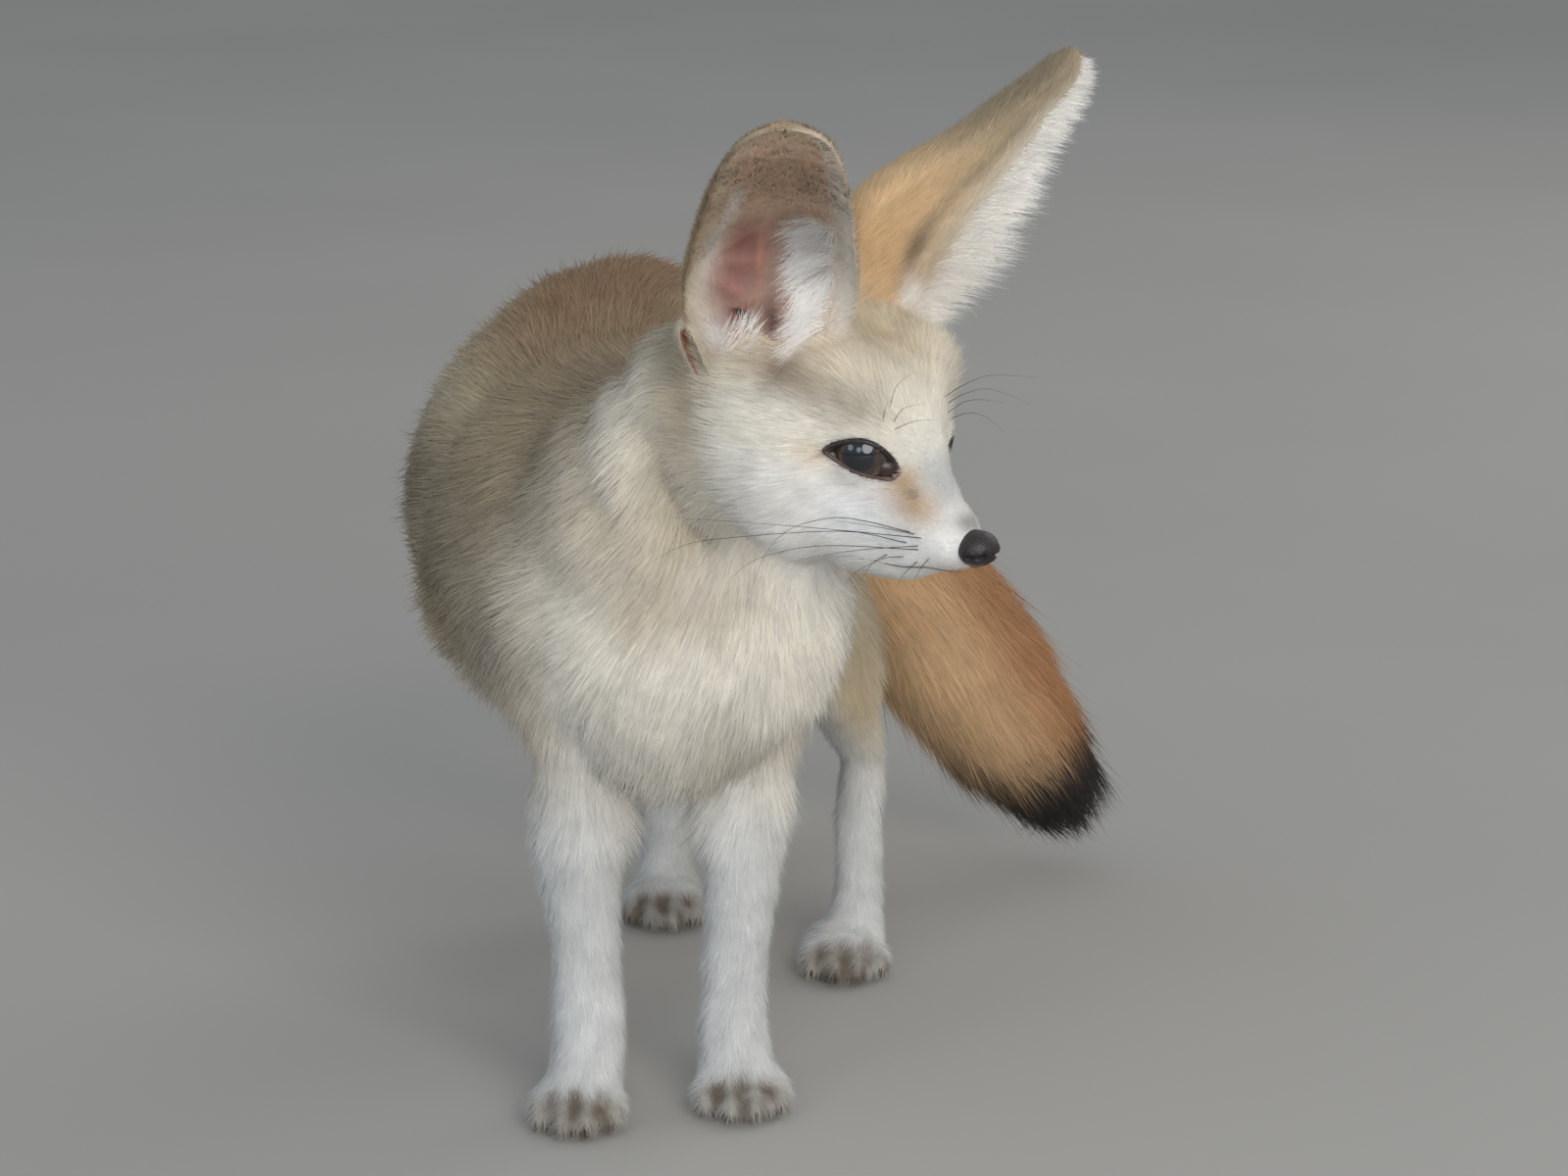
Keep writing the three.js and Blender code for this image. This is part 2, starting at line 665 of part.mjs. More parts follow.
function torsoCoat() {
  const clearOfLegs = (point) => point.z > 106 || (point.y > 45 && point.y < 110);
  return [
    ...coatSolids(trunk, COAT.torso, {
      from: 0.75, to: 6, rows: 5, around: 8, lie: trunkLie, seed: 11, keep: clearOfLegs,
    }),
    ...coatSolids(chest, COAT.chest, {
      from: 0.4, to: 2.2, rows: 3, around: 4, angles: [190, 350], lie: () => 0, seed: 23,
    }),
  ];
}

function neckCoat() {
  const lie = (t, angle) => Math.PI + degToRad(12) * Math.cos(angle);
  return coatSolids(neck, COAT.neck, { from: 1.6, to: 3.2, rows: 3, around: 7, lie, seed: 37 });
}

function tailCoat() {
  return coatSolids(tail, COAT.tail, { from: 0.7, to: 7.3, rows: 7, around: 5, lie: () => 0, seed: 41 });
}

// Tufts of the cheeks, swept back and down over the sides of the neck: row, degrees down and size
const CHEEK_TUFTS = [[7.2, 10, 0.9], [7.3, 44, 1], [8.5, 26, 1.1], [8.4, 60, 1]];

function cheekCoat() {
  const locks = [];
  for (const side of [1, -1]) {
    for (const [t, below, size] of CHEEK_TUFTS) {
      const angle = side > 0 ? degToRad(-below) : Math.PI + degToRad(below);
      locks.push(lockSolid(skull, COAT.cheek, { t, angle, lie: -side * degToRad(20), size, lift: 3 }));
    }
  }
  return locks.map((lock) => lock.transform(headFrame.toArray()));
}

function coreSolids() {
  return [
    coreSolid(trunk, COAT.torso, { rings: 10, around: 14, domes: [9, 6] }),
    coreSolid(chest, COAT.chest, { rings: 4, around: 10, domes: [6, 5] }),
    coreSolid(neck, COAT.neck, { rings: 5, around: 12, domes: [4, 4] }),
    coreSolid(tail, COAT.tail, { rings: 10, around: 8, domes: [4, 3] }),
  ];
}

// The whole animal, joined and then parted by thin cuts
const floor = solid(
  new THREE.BoxGeometry(FLOOR.width, FLOOR.width, FLOOR.thickness),
  new THREE.Matrix4().makeTranslation(0, 0, -FLOOR.thickness / 2),
);

function buildNodes() {
  let face = union([skullSolid(), lidSolid(1), lidSolid(-1), ...cheekCoat()]);
  for (const side of [1, -1]) {
    face = face.add(rod(mouthPoints(side, 5, -0.5), MOUTH.lipRadius, 6, 4));
    face = face.subtract(rod(mouthPoints(side, 0, 0), MOUTH.grooveRadius, 6, 4));
    face = face.subtract(eyeSolid(side, GAP));
  }
  const legs = [FORELEGS.left, FORELEGS.right, HINDLEGS.left, HINDLEGS.right];
  const flesh = [...coreSolids(), ...legs.map(limbSolid), ...legs.map(pawSolid)];
  const coat = [...torsoCoat(), ...neckCoat(), ...tailCoat()];
  const whole = union([face, ...flesh, ...coat]).subtract(union([floor, ...partings()]));
  const pieces = whole.decompose();
  const nodes = {};
  for (const [name, seed] of Object.entries(seeds())) {
    const probe = ball(seed, 1.5, 8);
    const found = pieces.filter((piece) => piece.intersect(probe).volume() > 0);
    nodes[name] = found.reduce((best, next) => (next.volume() > best.volume() ? next : best));
  }
  const clearance = skullSolid(GAP);
  nodes.nose = largest(noseSolid().subtract(clearance));
  nodes.eye_left = eyeSolid(1);
  nodes.eye_right = eyeSolid(-1);
  for (const name of ['left', 'right']) Object.assign(nodes, earNodes(name, clearance));
  return nodes;
}

// Each ear stands on the head in two lengths, its fringed front edge and the rest with the cup.
function earNodes(name, clearance) {
  const ear = union([earSolid(name), ...fringeSolids(name)]).subtract(clearance);
  const { root, up, front } = earFrame(EARS[name]);
  const middle = root.addScaledVector(up, EAR.length / 2).addScaledVector(front, EAR.halfWidth / 2);
  const reach = 60;
  const nodes = {};
  for (const [part, sign] of [['front', 1], ['back', -1]]) {
    const centre = middle.clone().addScaledVector(front, sign * (reach + GAP / 2));
    nodes[`ear_${name}_${part}`] = largest(ear.intersect(slab(centre, front, 200, 200, 2 * reach)));
  }
  return nodes;
}

// Thin cuts at the nape, the collar, the loin, along the tail and along each leg
function partings() {
  const { nape, collar } = CUTS;
  const cuts = [
    slab(onHead(nape.at), headDirection(nape.normal), nape.width),
    slab(vec(collar.at), direction(collar.normal), collar.width),
    rowCut(trunk, CUTS.loin),
  ];
  cuts.push(...CUTS.tail.map((cut) => rowCut(tail, cut)));
  for (const { leg } of [FORELEGS.left, FORELEGS.right]) {
    cuts.push(...CUTS.foreleg.map((cut) => levelCut(leg, cut)));
  }
  for (const { leg } of [HINDLEGS.left, HINDLEGS.right]) {
    cuts.push(rowCut(loft(leg), CUTS.hip));
    cuts.push(...CUTS.hindleg.map((cut) => levelCut(leg, cut)));
  }
  return cuts;
}

// A cut across a body line at one of its rows
function rowCut(body, { row, width }) {
  const { middle, tangent } = body.frame(row);
  return slab(middle, tangent, width);
}

// A level cut through a leg at a height over the floor
function levelCut(leg, { height, width }) {
  const below = leg.findIndex(([, , z]) => z <= height);
  const [x0, y0, z0] = leg[below - 1];
  const [x1, y1, z1] = leg[below];
  const f = (z0 - height) / (z0 - z1);
  return slab(vec([lerp(x0, x1, f), lerp(y0, y1, f), height]), new THREE.Vector3(0, 0, 1), width);
}

// A point inside each node, by which it is told from the others
function seeds() {
  const rowPoint = (rows, k) => vec(rows[k].slice(0, 3));
  const found = {
    head: onHead([-20, 0, 5]),
    neck: rowPoint(NECK, 3),
    torso_front: rowPoint(TRUNK, 2),
    torso_rear: rowPoint(TRUNK, 5),
    tail_base: tail.frame(2.5).middle,
    tail_brush: tail.frame(5.5).middle,
    tail_tip: tail.frame(8).middle,
  };
  for (const name of ['left', 'right']) {
    found[`foreleg_${name}`] = rowPoint(FORELEGS[name].leg, 4);
    found[`forepaw_${name}`] = vec([...FORELEGS[name].paw, 7]);
    found[`thigh_${name}`] = rowPoint(HINDLEGS[name].leg, 3);
    found[`shank_${name}`] = rowPoint(HINDLEGS[name].leg, 6);
    found[`hindpaw_${name}`] = vec([...HINDLEGS[name].paw, 7]);
  }
  return found;
}

// Colours of the coat, skin and eyes
const LOOKS = {
  cream: { color: 0xe6dccb, roughness: 0.9 },
  sand: { color: 0xcdb48e, roughness: 0.9 },
  tan: { color: 0xc78a4e, roughness: 0.9 },
  black: { color: 0x1d1815, roughness: 0.85 },
  leather: { color: 0x2a1f1d, roughness: 0.5 },
  eye: { color: 0x0d0a0a, roughness: 0.1 },
};

const NODE_LOOKS = [
  [/^eye/, 'eye'],
  [/^nose/, 'leather'],
  [/^tail_tip/, 'black'],
  [/^tail/, 'tan'],
  [/^(torso|ear|thigh)/, 'sand'],
  [/./, 'cream'],
];

const fox = new THREE.Group();
const figure = new THREE.Group();
fox.add(figure);
for (const [name, shape] of Object.entries(buildNodes())) {
  const look = LOOKS[NODE_LOOKS.find(([pattern]) => pattern.test(name))[1]];
  const mesh = new THREE.Mesh(geometryOf(shape), new THREE.MeshStandardMaterial({ ...look, metalness: 0 }));
  mesh.name = name;
  figure.add(mesh);
}

// The origin lies on the floor, under the middle of the animal's box.
const box = new THREE.Box3().setFromObject(figure);
const middle = box.getCenter(new THREE.Vector3());
figure.position.set(-middle.x, -middle.y, 0);
fox.updateMatrixWorld(true);

export default fox;
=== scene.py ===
import itertools
import math
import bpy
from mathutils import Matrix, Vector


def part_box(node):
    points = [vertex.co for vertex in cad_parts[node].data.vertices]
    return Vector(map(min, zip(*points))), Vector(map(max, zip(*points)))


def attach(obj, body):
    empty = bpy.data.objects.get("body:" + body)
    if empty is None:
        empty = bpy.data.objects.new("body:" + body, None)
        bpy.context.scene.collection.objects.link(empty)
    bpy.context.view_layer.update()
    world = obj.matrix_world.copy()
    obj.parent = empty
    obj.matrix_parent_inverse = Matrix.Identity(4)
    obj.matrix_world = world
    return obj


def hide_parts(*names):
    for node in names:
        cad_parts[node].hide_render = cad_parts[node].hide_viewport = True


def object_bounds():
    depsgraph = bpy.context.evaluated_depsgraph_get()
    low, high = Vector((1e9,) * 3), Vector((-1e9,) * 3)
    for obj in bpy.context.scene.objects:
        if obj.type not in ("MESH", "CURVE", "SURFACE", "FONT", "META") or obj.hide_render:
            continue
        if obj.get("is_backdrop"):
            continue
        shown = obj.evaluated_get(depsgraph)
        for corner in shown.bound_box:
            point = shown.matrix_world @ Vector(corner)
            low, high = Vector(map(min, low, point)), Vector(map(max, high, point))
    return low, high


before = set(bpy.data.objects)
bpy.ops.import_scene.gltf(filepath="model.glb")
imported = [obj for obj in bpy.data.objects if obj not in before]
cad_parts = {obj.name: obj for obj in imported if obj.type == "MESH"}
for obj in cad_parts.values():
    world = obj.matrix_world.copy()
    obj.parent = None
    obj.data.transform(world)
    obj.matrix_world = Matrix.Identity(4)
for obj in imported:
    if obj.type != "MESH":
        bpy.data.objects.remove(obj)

from types import SimpleNamespace

import bpy
import numpy as np
from mathutils import Vector
from mathutils.bvhtree import BVHTree
from mathutils.kdtree import KDTree

# A fennec fox at life size. Sizes are millimetres in the fox's own frame until a mesh is made:
# +Z up, the chest faces -Y, the fox's left side is +X, and the paws stand on z = 0.
MM = 0.001
CAD_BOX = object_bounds()
BODY = "root"

# The head hangs from the middle of the eyes, turned to the fox's left with its nose a little down.
HEAD = dict(eyes_at=(57.6, -20, 200), yaw=52, nose_down=13, roll=-4.8)
EYE = dict(ahead=0.8, aside=12.7, radius=9.0)
EAR = dict(half_width=23.5, thickness=2.2, coat=1.1)

# A long fringe hangs over the front edge of the left ear, so its skin stands further back there.
EARS = {
    "left": dict(side=1, base=(-23, 29, 21), axis=(0.17, 0.31, 0.92), facing=(0.45, 0.88, 0.1),
                 length=89.5, lean_front=0, tip_front=-2, fringe=1),
    "right": dict(side=-1, base=(-28, -26, 18), axis=(0.25, -0.58, 0.775), facing=(0.6, -0.78, 0.1),
                  length=92.5, lean_front=1.4, tip_front=2.6, fringe=0.09),
}

# From an ear's foot at 0 to its tip at 1: how long the fringe is, and how much room it takes, in millimetres
FRINGE_LENGTH = [
    (-0.15, 7), (0.14, 10.5), (0.27, 14.5), (0.41, 12.5), (0.53, 10), (0.68, 7), (0.81, 6), (1, 1.5),
]
FRINGE_ROOM = [
    (-0.15, 15), (0.16, 15.5), (0.35, 14), (0.54, 11.7), (0.7, 10.3), (0.82, 9.6), (0.95, 3), (1, 1),
]

# Again from foot to tip: the share of the ear's half width, then in millimetres how far its back, the
# hollow of its cup and the whole ear stand behind the plane of its rim
EAR_WIDTH = {
    "left": [
        (-0.15, 0.7), (0.05, 0.86), (0.3, 1), (0.45, 0.96), (0.62, 0.86), (0.76, 0.74), (0.88, 0.57),
        (0.96, 0.36), (0.99, 0.2), (1, 0.12),
    ],
    "right": [
        (-0.15, 0.72), (0.05, 0.9), (0.22, 1), (0.45, 0.915), (0.62, 0.82), (0.76, 0.73), (0.88, 0.61),
        (0.95, 0.45), (0.985, 0.28), (1, 0.16),
    ],
}
EAR_BACK = [
    (-0.15, 18), (0.05, 22), (0.24, 28), (0.42, 22), (0.58, 13), (0.75, 8), (0.85, 5.5), (0.95, 3), (1, 1.2),
]
EAR_HOLLOW = [(-0.15, 0), (0.02, 0), (0.3, 13), (0.45, 11), (0.6, 8), (0.8, 4), (0.95, 1.5), (1, 0.5)]
EAR_LEAN = [(-0.15, 0), (0, 0), (0.3, 4.5), (0.5, 4), (0.75, 0.8), (0.85, -1), (1, -1)]

# How far the skin lies inside the coat's outline
SKIN_DEPTH = dict(trunk=5, chest=4.5, neck=4.5, tail=12, paw=1.0)
LEAST_CORE = 0.45
SKIN_VOXEL = 1.5

# Each row of a body line is x, y, z, then half width, reach upwards and reach downwards.
TRUNK = [
    (2, -3, 138, 32, 30, 31),
    (0, 14, 140, 49, 42, 48),
    (-5, 40, 144, 57, 58, 56),
    (-20, 75, 150, 59, 61, 57),
    (-25, 112, 157, 57, 62, 55),
    (-16, 148, 161, 53, 60, 48),
    (1, 176, 161, 43, 50, 37),
    (14, 195, 160, 26, 27, 24),
]
NECK = [
    (-4, 38, 152, 48, 46, 42),
    (0, 24, 168, 44, 40, 40),
    (7, 14, 184, 39, 36, 36),
    (15, 7, 200, 34, 32, 33),
    (24, 1, 208, 29, 27, 29),
]
CHEST = [
    (15, 8, 178, 34, 24, 22),
    (9, 6, 154, 42, 26, 24),
    (1, 8, 127, 37, 26, 24),
    (-4, 12, 106, 21, 20, 17),
]
TAIL = [
    (12, 193, 166, 11, 11, 11),
    (27, 205, 155, 17, 17, 17),
    (44, 212, 136, 24, 24, 24),
    (61, 216, 114, 29, 29, 29),
    (77, 219, 91, 31.5, 31.5, 31.5),
    (92, 221, 67, 31, 31, 31),
    (106, 222, 48, 27, 27, 27),
    (119, 222, 33, 21, 21, 20),
    (131, 222, 22.5, 13, 13, 13),
    (139, 222, 17, 5.5, 5.5, 5.5),
]

# Head rows run from the nose to the nape in the head's own frame: forward, left and up from the eyes.
SKULL = [
    (35.5, 0, -18.4, 5.6, 4.2, 5.4),
    (32, 0, -17.8, 7.8, 6.6, 7.6),
    (26.5, 0, -16.4, 9.4, 8.8, 11.6),
    (19.5, 0, -14.8, 10.4, 11.6, 16.6),
    (12, 0, -11.6, 12.6, 15, 24),
    (5, 0, -8, 17.2, 22, 30.5),
    (-3, 0, -5, 24.5, 26.4, 34.5),
    (-13, 0, -3.5, 32, 29.4, 36),
    (-26, 0, -2.5, 36, 29.8, 34),
    (-38, 0, -1, 34.5, 27, 29),
    (-48, 0, 1, 27, 20.5, 21),
    (-54, 0, 2, 17, 12, 13),
]

# The face swells away from a line this far under the eyes.
FACE_AXIS_DEPTH = 6

# Swellings and hollows of the face: forward, side, up, reach and push.
FACE = [
    (1, 19, 16, 9, 5.8),
    (-8, 26, 22, 12, 8.5),
    (6, 17, 1, 7, -1.6),
    (14, 9, 6, 6.5, -2.6),
    (-8, 31, -9, 11, 2.2),
    (29, 7.5, -20, 6, 1),
    (10, 0, 9, 7, -1),
    (16, 5, -33, 9, 2.2),
    (4, 9, -36, 10, 2.5),
    (-3, 14, 24, 9, 3.2),
    (8, 16, 5, 5, -1.2),
]

LEGS = {
    "fore_left": dict(paw=(17.4, 12), turn=4, rows=[
        (22, 26, 122, 22, 26, 24),
        (20, 22, 102, 15, 17, 16),
        (19, 20, 90, 13.8, 14, 13),
        (17.8, 19, 76, 12.8, 12.4, 11.8),
        (16.6, 18.5, 56, 11, 10.4, 10),
        (15.9, 18, 36, 10.3, 9.6, 9.6),
        (15.6, 16.5, 20, 10.8, 9.8, 10.4),
        (16.2, 14, 9, 11.2, 9, 11),
    ]),
    "fore_right": dict(paw=(-27.8, 1), turn=-3, rows=[
        (-30, 22, 122, 22, 26, 24),
        (-29, 18, 102, 15.4, 17, 16),
        (-28, 16.5, 90, 14.4, 14, 13),
        (-27.6, 16, 76, 13.6, 12.4, 11.8),
        (-27, 15.5, 56, 11.4, 10.4, 10),
        (-26.4, 14.5, 36, 10.6, 9.6, 9.6),
        (-25.6, 11, 20, 11, 9.8, 10.4),
        (-26.6, 6, 9, 11.4, 9, 11),
    ]),
    "hind_left": dict(paw=(48.4, 125), turn=3, rows=[
        (14, 155, 146, 20, 32, 32),
        (31, 146, 121, 21, 37, 34),
        (43, 139, 99, 17, 28, 25),
        (48, 142, 82, 12, 16, 14),
        (54.5, 149, 64, 8.6, 10, 9),
        (54.5, 148, 54, 8.5, 9, 8.6),
        (53.4, 141, 36, 8.4, 8.2, 8.4),
        (53, 135, 18, 8.8, 8.4, 9),
        (52, 131, 9, 10.4, 8.6, 10),
    ]),
    "hind_right": dict(paw=(-8, 175), turn=-4, rows=[
        (-22, 166, 146, 20, 32, 32),
        (-33, 163, 120, 21, 36, 34),
        (-31, 166, 98, 16, 27, 25),
        (-21, 180, 80, 10.4, 15, 14),
        (-12, 195, 64, 8.6, 10, 9),
        (-10, 196, 54, 8.5, 9, 8.6),
        (-9, 190, 36, 8.4, 8.2, 8.4),
        (-8.5, 185, 18, 8.8, 8.4, 9),
        (-8.5, 181, 9, 10.4, 8.6, 10),
    ]),
}
PAW = dict(toe_spacing=7.1, toe_rise=5.1, reach=12.5, outer_back=5)


# Vectors and noise
def unit(vectors):
    return vectors / np.maximum(np.linalg.norm(vectors, axis=-1, keepdims=True), 1e-9)


def dots(a, b):
    """The dot product of each row of a with the same row of b."""
    return np.einsum("ij,ij->i", a, b)


def smooth(x, low, high):
    f = np.clip((np.asarray(x, float) - low) / (high - low), 0, 1)
    return f * f * (3 - 2 * f)


def bell(distance, reach):
    return np.exp(-((distance / reach) ** 2))


def blend(a, b, share):
    share = np.asarray(share, float)
    if np.ndim(a) > share.ndim or np.ndim(b) > share.ndim:
        share = share[..., None]
    return a * (1 - share) + b * share


def noise(points, size, seed):
    """Smooth noise from -1 to 1 whose features are about that size."""
    grid = points / size + seed * 17.31
    low = np.floor(grid).astype(np.int64)
    f = grid - low
    f = f * f * (3 - 2 * f)
    total = np.zeros(len(points))
    for corner in itertools.product((0, 1), repeat=3):
        cell = low + np.array(corner)
        mixed = (cell[:, 0] * 73856093) ^ (cell[:, 1] * 19349663) ^ (cell[:, 2] * 83492791)
        mixed = (mixed ^ (mixed >> 7)) * 1274126177
        value = ((mixed >> 9) & 65535) / 32767.5 - 1
        total += value * np.prod(np.where(corner, f, 1 - f), axis=1)
    return total


def profile(pairs, t):
    """A table of values read between its entries along a smooth curve."""
    at, values = np.array(pairs, float).T
    slopes = np.gradient(values, at)
    t = np.clip(t, at[0], at[-1])
    k = np.clip(np.searchsorted(at, t) - 1, 0, len(at) - 2)
    step = at[k + 1] - at[k]
    f = (t - at[k]) / step
    start = values[k] * (1 + 2 * f) + slopes[k] * step * f
    end = values[k + 1] * (3 - 2 * f) - slopes[k + 1] * step * (1 - f)
    return start * (1 - f) ** 2 + end * f**2


# Body lines
CAP_RINGS = 3


class Loft:
    """A rounded body along a line of rows. at(t, angle, grow) is a point of its surface."""

    def __init__(self, rows, side=(1, 0, 0)):
        self.rows = np.array(rows, float)
        self.last = len(rows) - 1
        self.side = np.array(side, float)

    def read(self, t):
        i = np.clip(np.floor(t).astype(int), 0, self.last - 1)
        f = (t - i)[:, None]
        row = lambda k: self.rows[np.clip(k, 0, self.last)]
        before, start, end, after = row(i - 1), row(i), row(i + 1), row(i + 2)
        slope_start = (end - before) / 2
        slope_end = (after - start) / 2
        rise = end - start
        square = 3 * rise - 2 * slope_start - slope_end
        cube = slope_start + slope_end - 2 * rise
        return start + f * (slope_start + f * (square + f * cube))

    def frame(self, t):
        t = np.atleast_1d(np.asarray(t, float))
        inside = np.clip(t, 0, self.last)
        near = np.clip(inside, 0.05, self.last - 0.05)
        tangent = self.read(near + 0.05)[:, :3] - self.read(near - 0.05)[:, :3]
        pace = np.linalg.norm(tangent, axis=1, keepdims=True) / 0.1
        tangent = unit(tangent)
        across = unit(self.side - tangent * (tangent @ self.side)[:, None])
        up = np.cross(across, tangent)
        middle = self.read(inside)[:, :3] + tangent * pace * (t - inside)[:, None]
        return middle, tangent, across, up

    def at(self, t, angle, grow):
        t, angle = np.broadcast_arrays(np.atleast_1d(np.asarray(t, float)), angle)
        middle, _, across, up = self.frame(t)
        half, above, below = self.read(np.clip(t, 0, self.last))[:, 3:].T
        reach = np.where(np.sin(angle) > 0, above, below)
        wide = np.cos(angle) * np.maximum(half + grow, half * LEAST_CORE)
        high = np.sin(angle) * np.maximum(reach + grow, reach * LEAST_CORE)
        return middle + across * wide[:, None] + up * high[:, None]

    def mesh(self, rings, around, domes, grow=0.0):
        """Closed rings from end to end, with a rounded cap at each end."""
        caps = CAP_RINGS
        grow_at = grow if callable(grow) else (lambda t: np.full(len(t), float(grow)))
        steps = []
        for k in range(caps, 0, -1):
            lean = k / (caps + 1) * math.pi / 2
            steps.append((0.0, math.cos(lean), -math.sin(lean)))
        steps += [(t, 1.0, 0.0) for t in np.linspace(0, self.last, rings)]
        for k in range(1, caps + 1):
            lean = k / (caps + 1) * math.pi / 2
            steps.append((float(self.last), math.cos(lean), math.sin(lean)))
        t, scale, shift = np.array(steps).T
        grown = grow_at(t)
        reach = np.where(shift < 0, domes[0] + grow_at(t * 0)[0], domes[1] + grow_at(t * 0 + self.last)[0])
        reach = np.maximum(reach, 1.0)
        middle, tangent, _, _ = self.frame(t)
        rows = []
        for angle in np.arange(around) / around * 2 * math.pi:
            point = self.at(t, angle, grown) - middle
            rows.append(point * scale[:, None] + middle + tangent * (shift * reach)[:, None])
        ring_points = np.stack(rows, axis=1)
        ends = [
            middle[0] - tangent[0] * max(domes[0] + grown[0], 1.0),
            middle[-1] + tangent[-1] * max(domes[1] + grown[-1], 1.0),
        ]
        return ring_mesh(ring_points, ends)


def faced_out(points, faces):
    """The faces of a closed mesh, turned so that they look outwards."""
    middle = points.mean(axis=0)
    volume = 0.0
    for face in faces:
        corners = points[list(face)] - middle
        for k in range(1, len(face) - 1):
            volume += corners[0] @ np.cross(corners[k], corners[k + 1])
    return faces if volume > 0 else [face[::-1] for face in faces]


def ring_mesh(rings, ends):
    """Rings of points joined into a closed skin: rings is count x around x 3, ends its two poles."""
    count, around, _ = rings.shape
    points = np.concatenate([[ends[0]], rings.reshape(-1, 3), [ends[1]]])
    j = np.arange(around)
    after = (j + 1) % around
    index = lambda i, column: 1 + i * around + column
    faces = [(0, index(0, b), index(0, a)) for a, b in zip(j, after)]
    last = len(points) - 1
    faces += [(last, index(count - 1, a), index(count - 1, b)) for a, b in zip(j, after)]
    for i in range(count - 1):
        faces += [(index(i, a), index(i, b), index(i + 1, b), index(i + 1, a)) for a, b in zip(j, after)]
    return points, faces


def ball_mesh(centre, size, detail=14):
    """A ball or egg with those half sizes."""
    lean = np.linspace(0, math.pi, detail + 1)[1:-1]
    turn = np.arange(2 * detail) / (2 * detail) * 2 * math.pi
    lean, turn = np.meshgrid(lean, turn, indexing="ij")
    rings = np.stack([np.sin(lean) * np.cos(turn), np.sin(lean) * np.sin(turn), np.cos(lean)], axis=-1)
    size = np.broadcast_to(np.asarray(size, float), 3)
    ends = np.array([[0, 0, 1.0], [0, 0, -1.0]]) * size + centre
    return ring_mesh(rings * size + centre, ends)


# The head's own frame
def head_axes():
    yaw, down, roll = (math.radians(HEAD[key]) for key in ("yaw", "nose_down", "roll"))
    level_nose = np.array([math.sin(yaw), -math.cos(yaw), 0]) * math.cos(down)
    forward = level_nose - np.array([0, 0, math.sin(down)])
    level = np.array([math.cos(yaw), math.sin(yaw), 0])
    left = level * math.cos(roll) + np.cross(forward, level) * math.sin(roll)
    return np.stack([forward, left, np.cross(forward, left)], axis=1)


HEAD_AXES = head_axes()


def on_head(points):
    return np.asarray(points, float) @ HEAD_AXES.T + HEAD["eyes_at"]


def to_head(points):
    return (points - np.array(HEAD["eyes_at"])) @ HEAD_AXES


def head_direction(vector):
    return unit(HEAD_AXES @ np.array(vector, float))


def ear_axes(ear):
    up = head_direction(ear["axis"])
    facing = head_direction(ear["facing"])
    facing = unit(facing - up * (facing @ up))
    front = np.cross(facing, up) * ear["side"]
    return on_head(ear["base"]), up, facing, front


def frame_offset():
    """The way from the fox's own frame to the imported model's, found from its eyes, in millimetres."""
    corners = np.array([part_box("eye_left"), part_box("eye_right")], float)
    return corners.mean(axis=(0, 1)) / MM - on_head((EYE["ahead"], 0, 0))


OFFSET = frame_offset()

trunk = Loft(TRUNK)
chest = Loft(CHEST)
neck = Loft(NECK)
tail = Loft(TAIL)
skull = Loft(SKULL, side=(0, 1, 0))
legs = {name: Loft(leg["rows"]) for name, leg in LEGS.items()}


# Meshes and objects
def new_mesh(name, points, faces):
    """A Blender mesh in metres from points in the fox's frame. faces is a list, or an array of triangles."""
    mesh = bpy.data.meshes.new(name)
    points = (np.asarray(points) + OFFSET) * MM
    if isinstance(faces, np.ndarray):
        mesh.vertices.add(len(points))
        mesh.vertices.foreach_set("co", points.astype(np.float32).ravel())
        mesh.loops.add(faces.size)
        mesh.loops.foreach_set("vertex_index", faces.astype(np.int32).ravel())
        mesh.polygons.add(len(faces))
        mesh.polygons.foreach_set("loop_start", np.arange(0, faces.size, faces.shape[1], dtype=np.int32))
        mesh.update(calc_edges=True)
    else:
        mesh.from_pydata(points.tolist(), [], [tuple(int(k) for k in face) for face in faces])
    mesh.shade_smooth()
    return mesh


def add_piece(name, mesh, material, replaced=()):
    piece = bpy.data.objects.new(name, mesh)
    bpy.context.scene.collection.objects.link(piece)
    mesh.materials.clear()
    mesh.materials.append(material)
    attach(piece, BODY)
    if replaced:
        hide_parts(*replaced)
    return piece


PAINT = "Coat"


def paint(mesh, colours):
    attribute = mesh.color_attributes.new(name=PAINT, type="FLOAT_COLOR", domain="POINT")
    rgba = np.ones((len(colours), 4), np.float32)
    rgba[:, :3] = colours
    attribute.data.foreach_set("color", rgba.ravel())


def join_parts(parts):
    points, faces, start = [], [], 0
    for part_points, part_faces in parts:
        points.append(part_points)
        faces += [tuple(k + start for k in face) for face in part_faces]
        start += len(part_points)
    return np.concatenate(points), faces


def remeshed(points, faces, voxel):
    """The outer surface of some overlapping closed meshes, as one even mesh."""
    rough = bpy.data.objects.new("rough", new_mesh("rough", points, faces))
    bpy.context.scene.collection.objects.link(rough)
    remesh = rough.modifiers.new("remesh", "REMESH")
    remesh.mode = "VOXEL"
    remesh.voxel_size = voxel * MM
    solved = rough.evaluated_get(bpy.context.evaluated_depsgraph_get())
    mesh = bpy.data.meshes.new_from_object(solved)
    old = rough.data
    bpy.data.objects.remove(rough)
    bpy.data.meshes.remove(old)
    return mesh


def mesh_points(mesh):
    flat = np.empty(len(mesh.vertices) * 3, np.float32)
    mesh.vertices.foreach_get("co", flat)
    return flat.reshape(-1, 3).astype(float) / MM - OFFSET


def set_points(mesh, points):
    mesh.vertices.foreach_set("co", ((points + OFFSET) * MM).astype(np.float32).ravel())
    mesh.update()


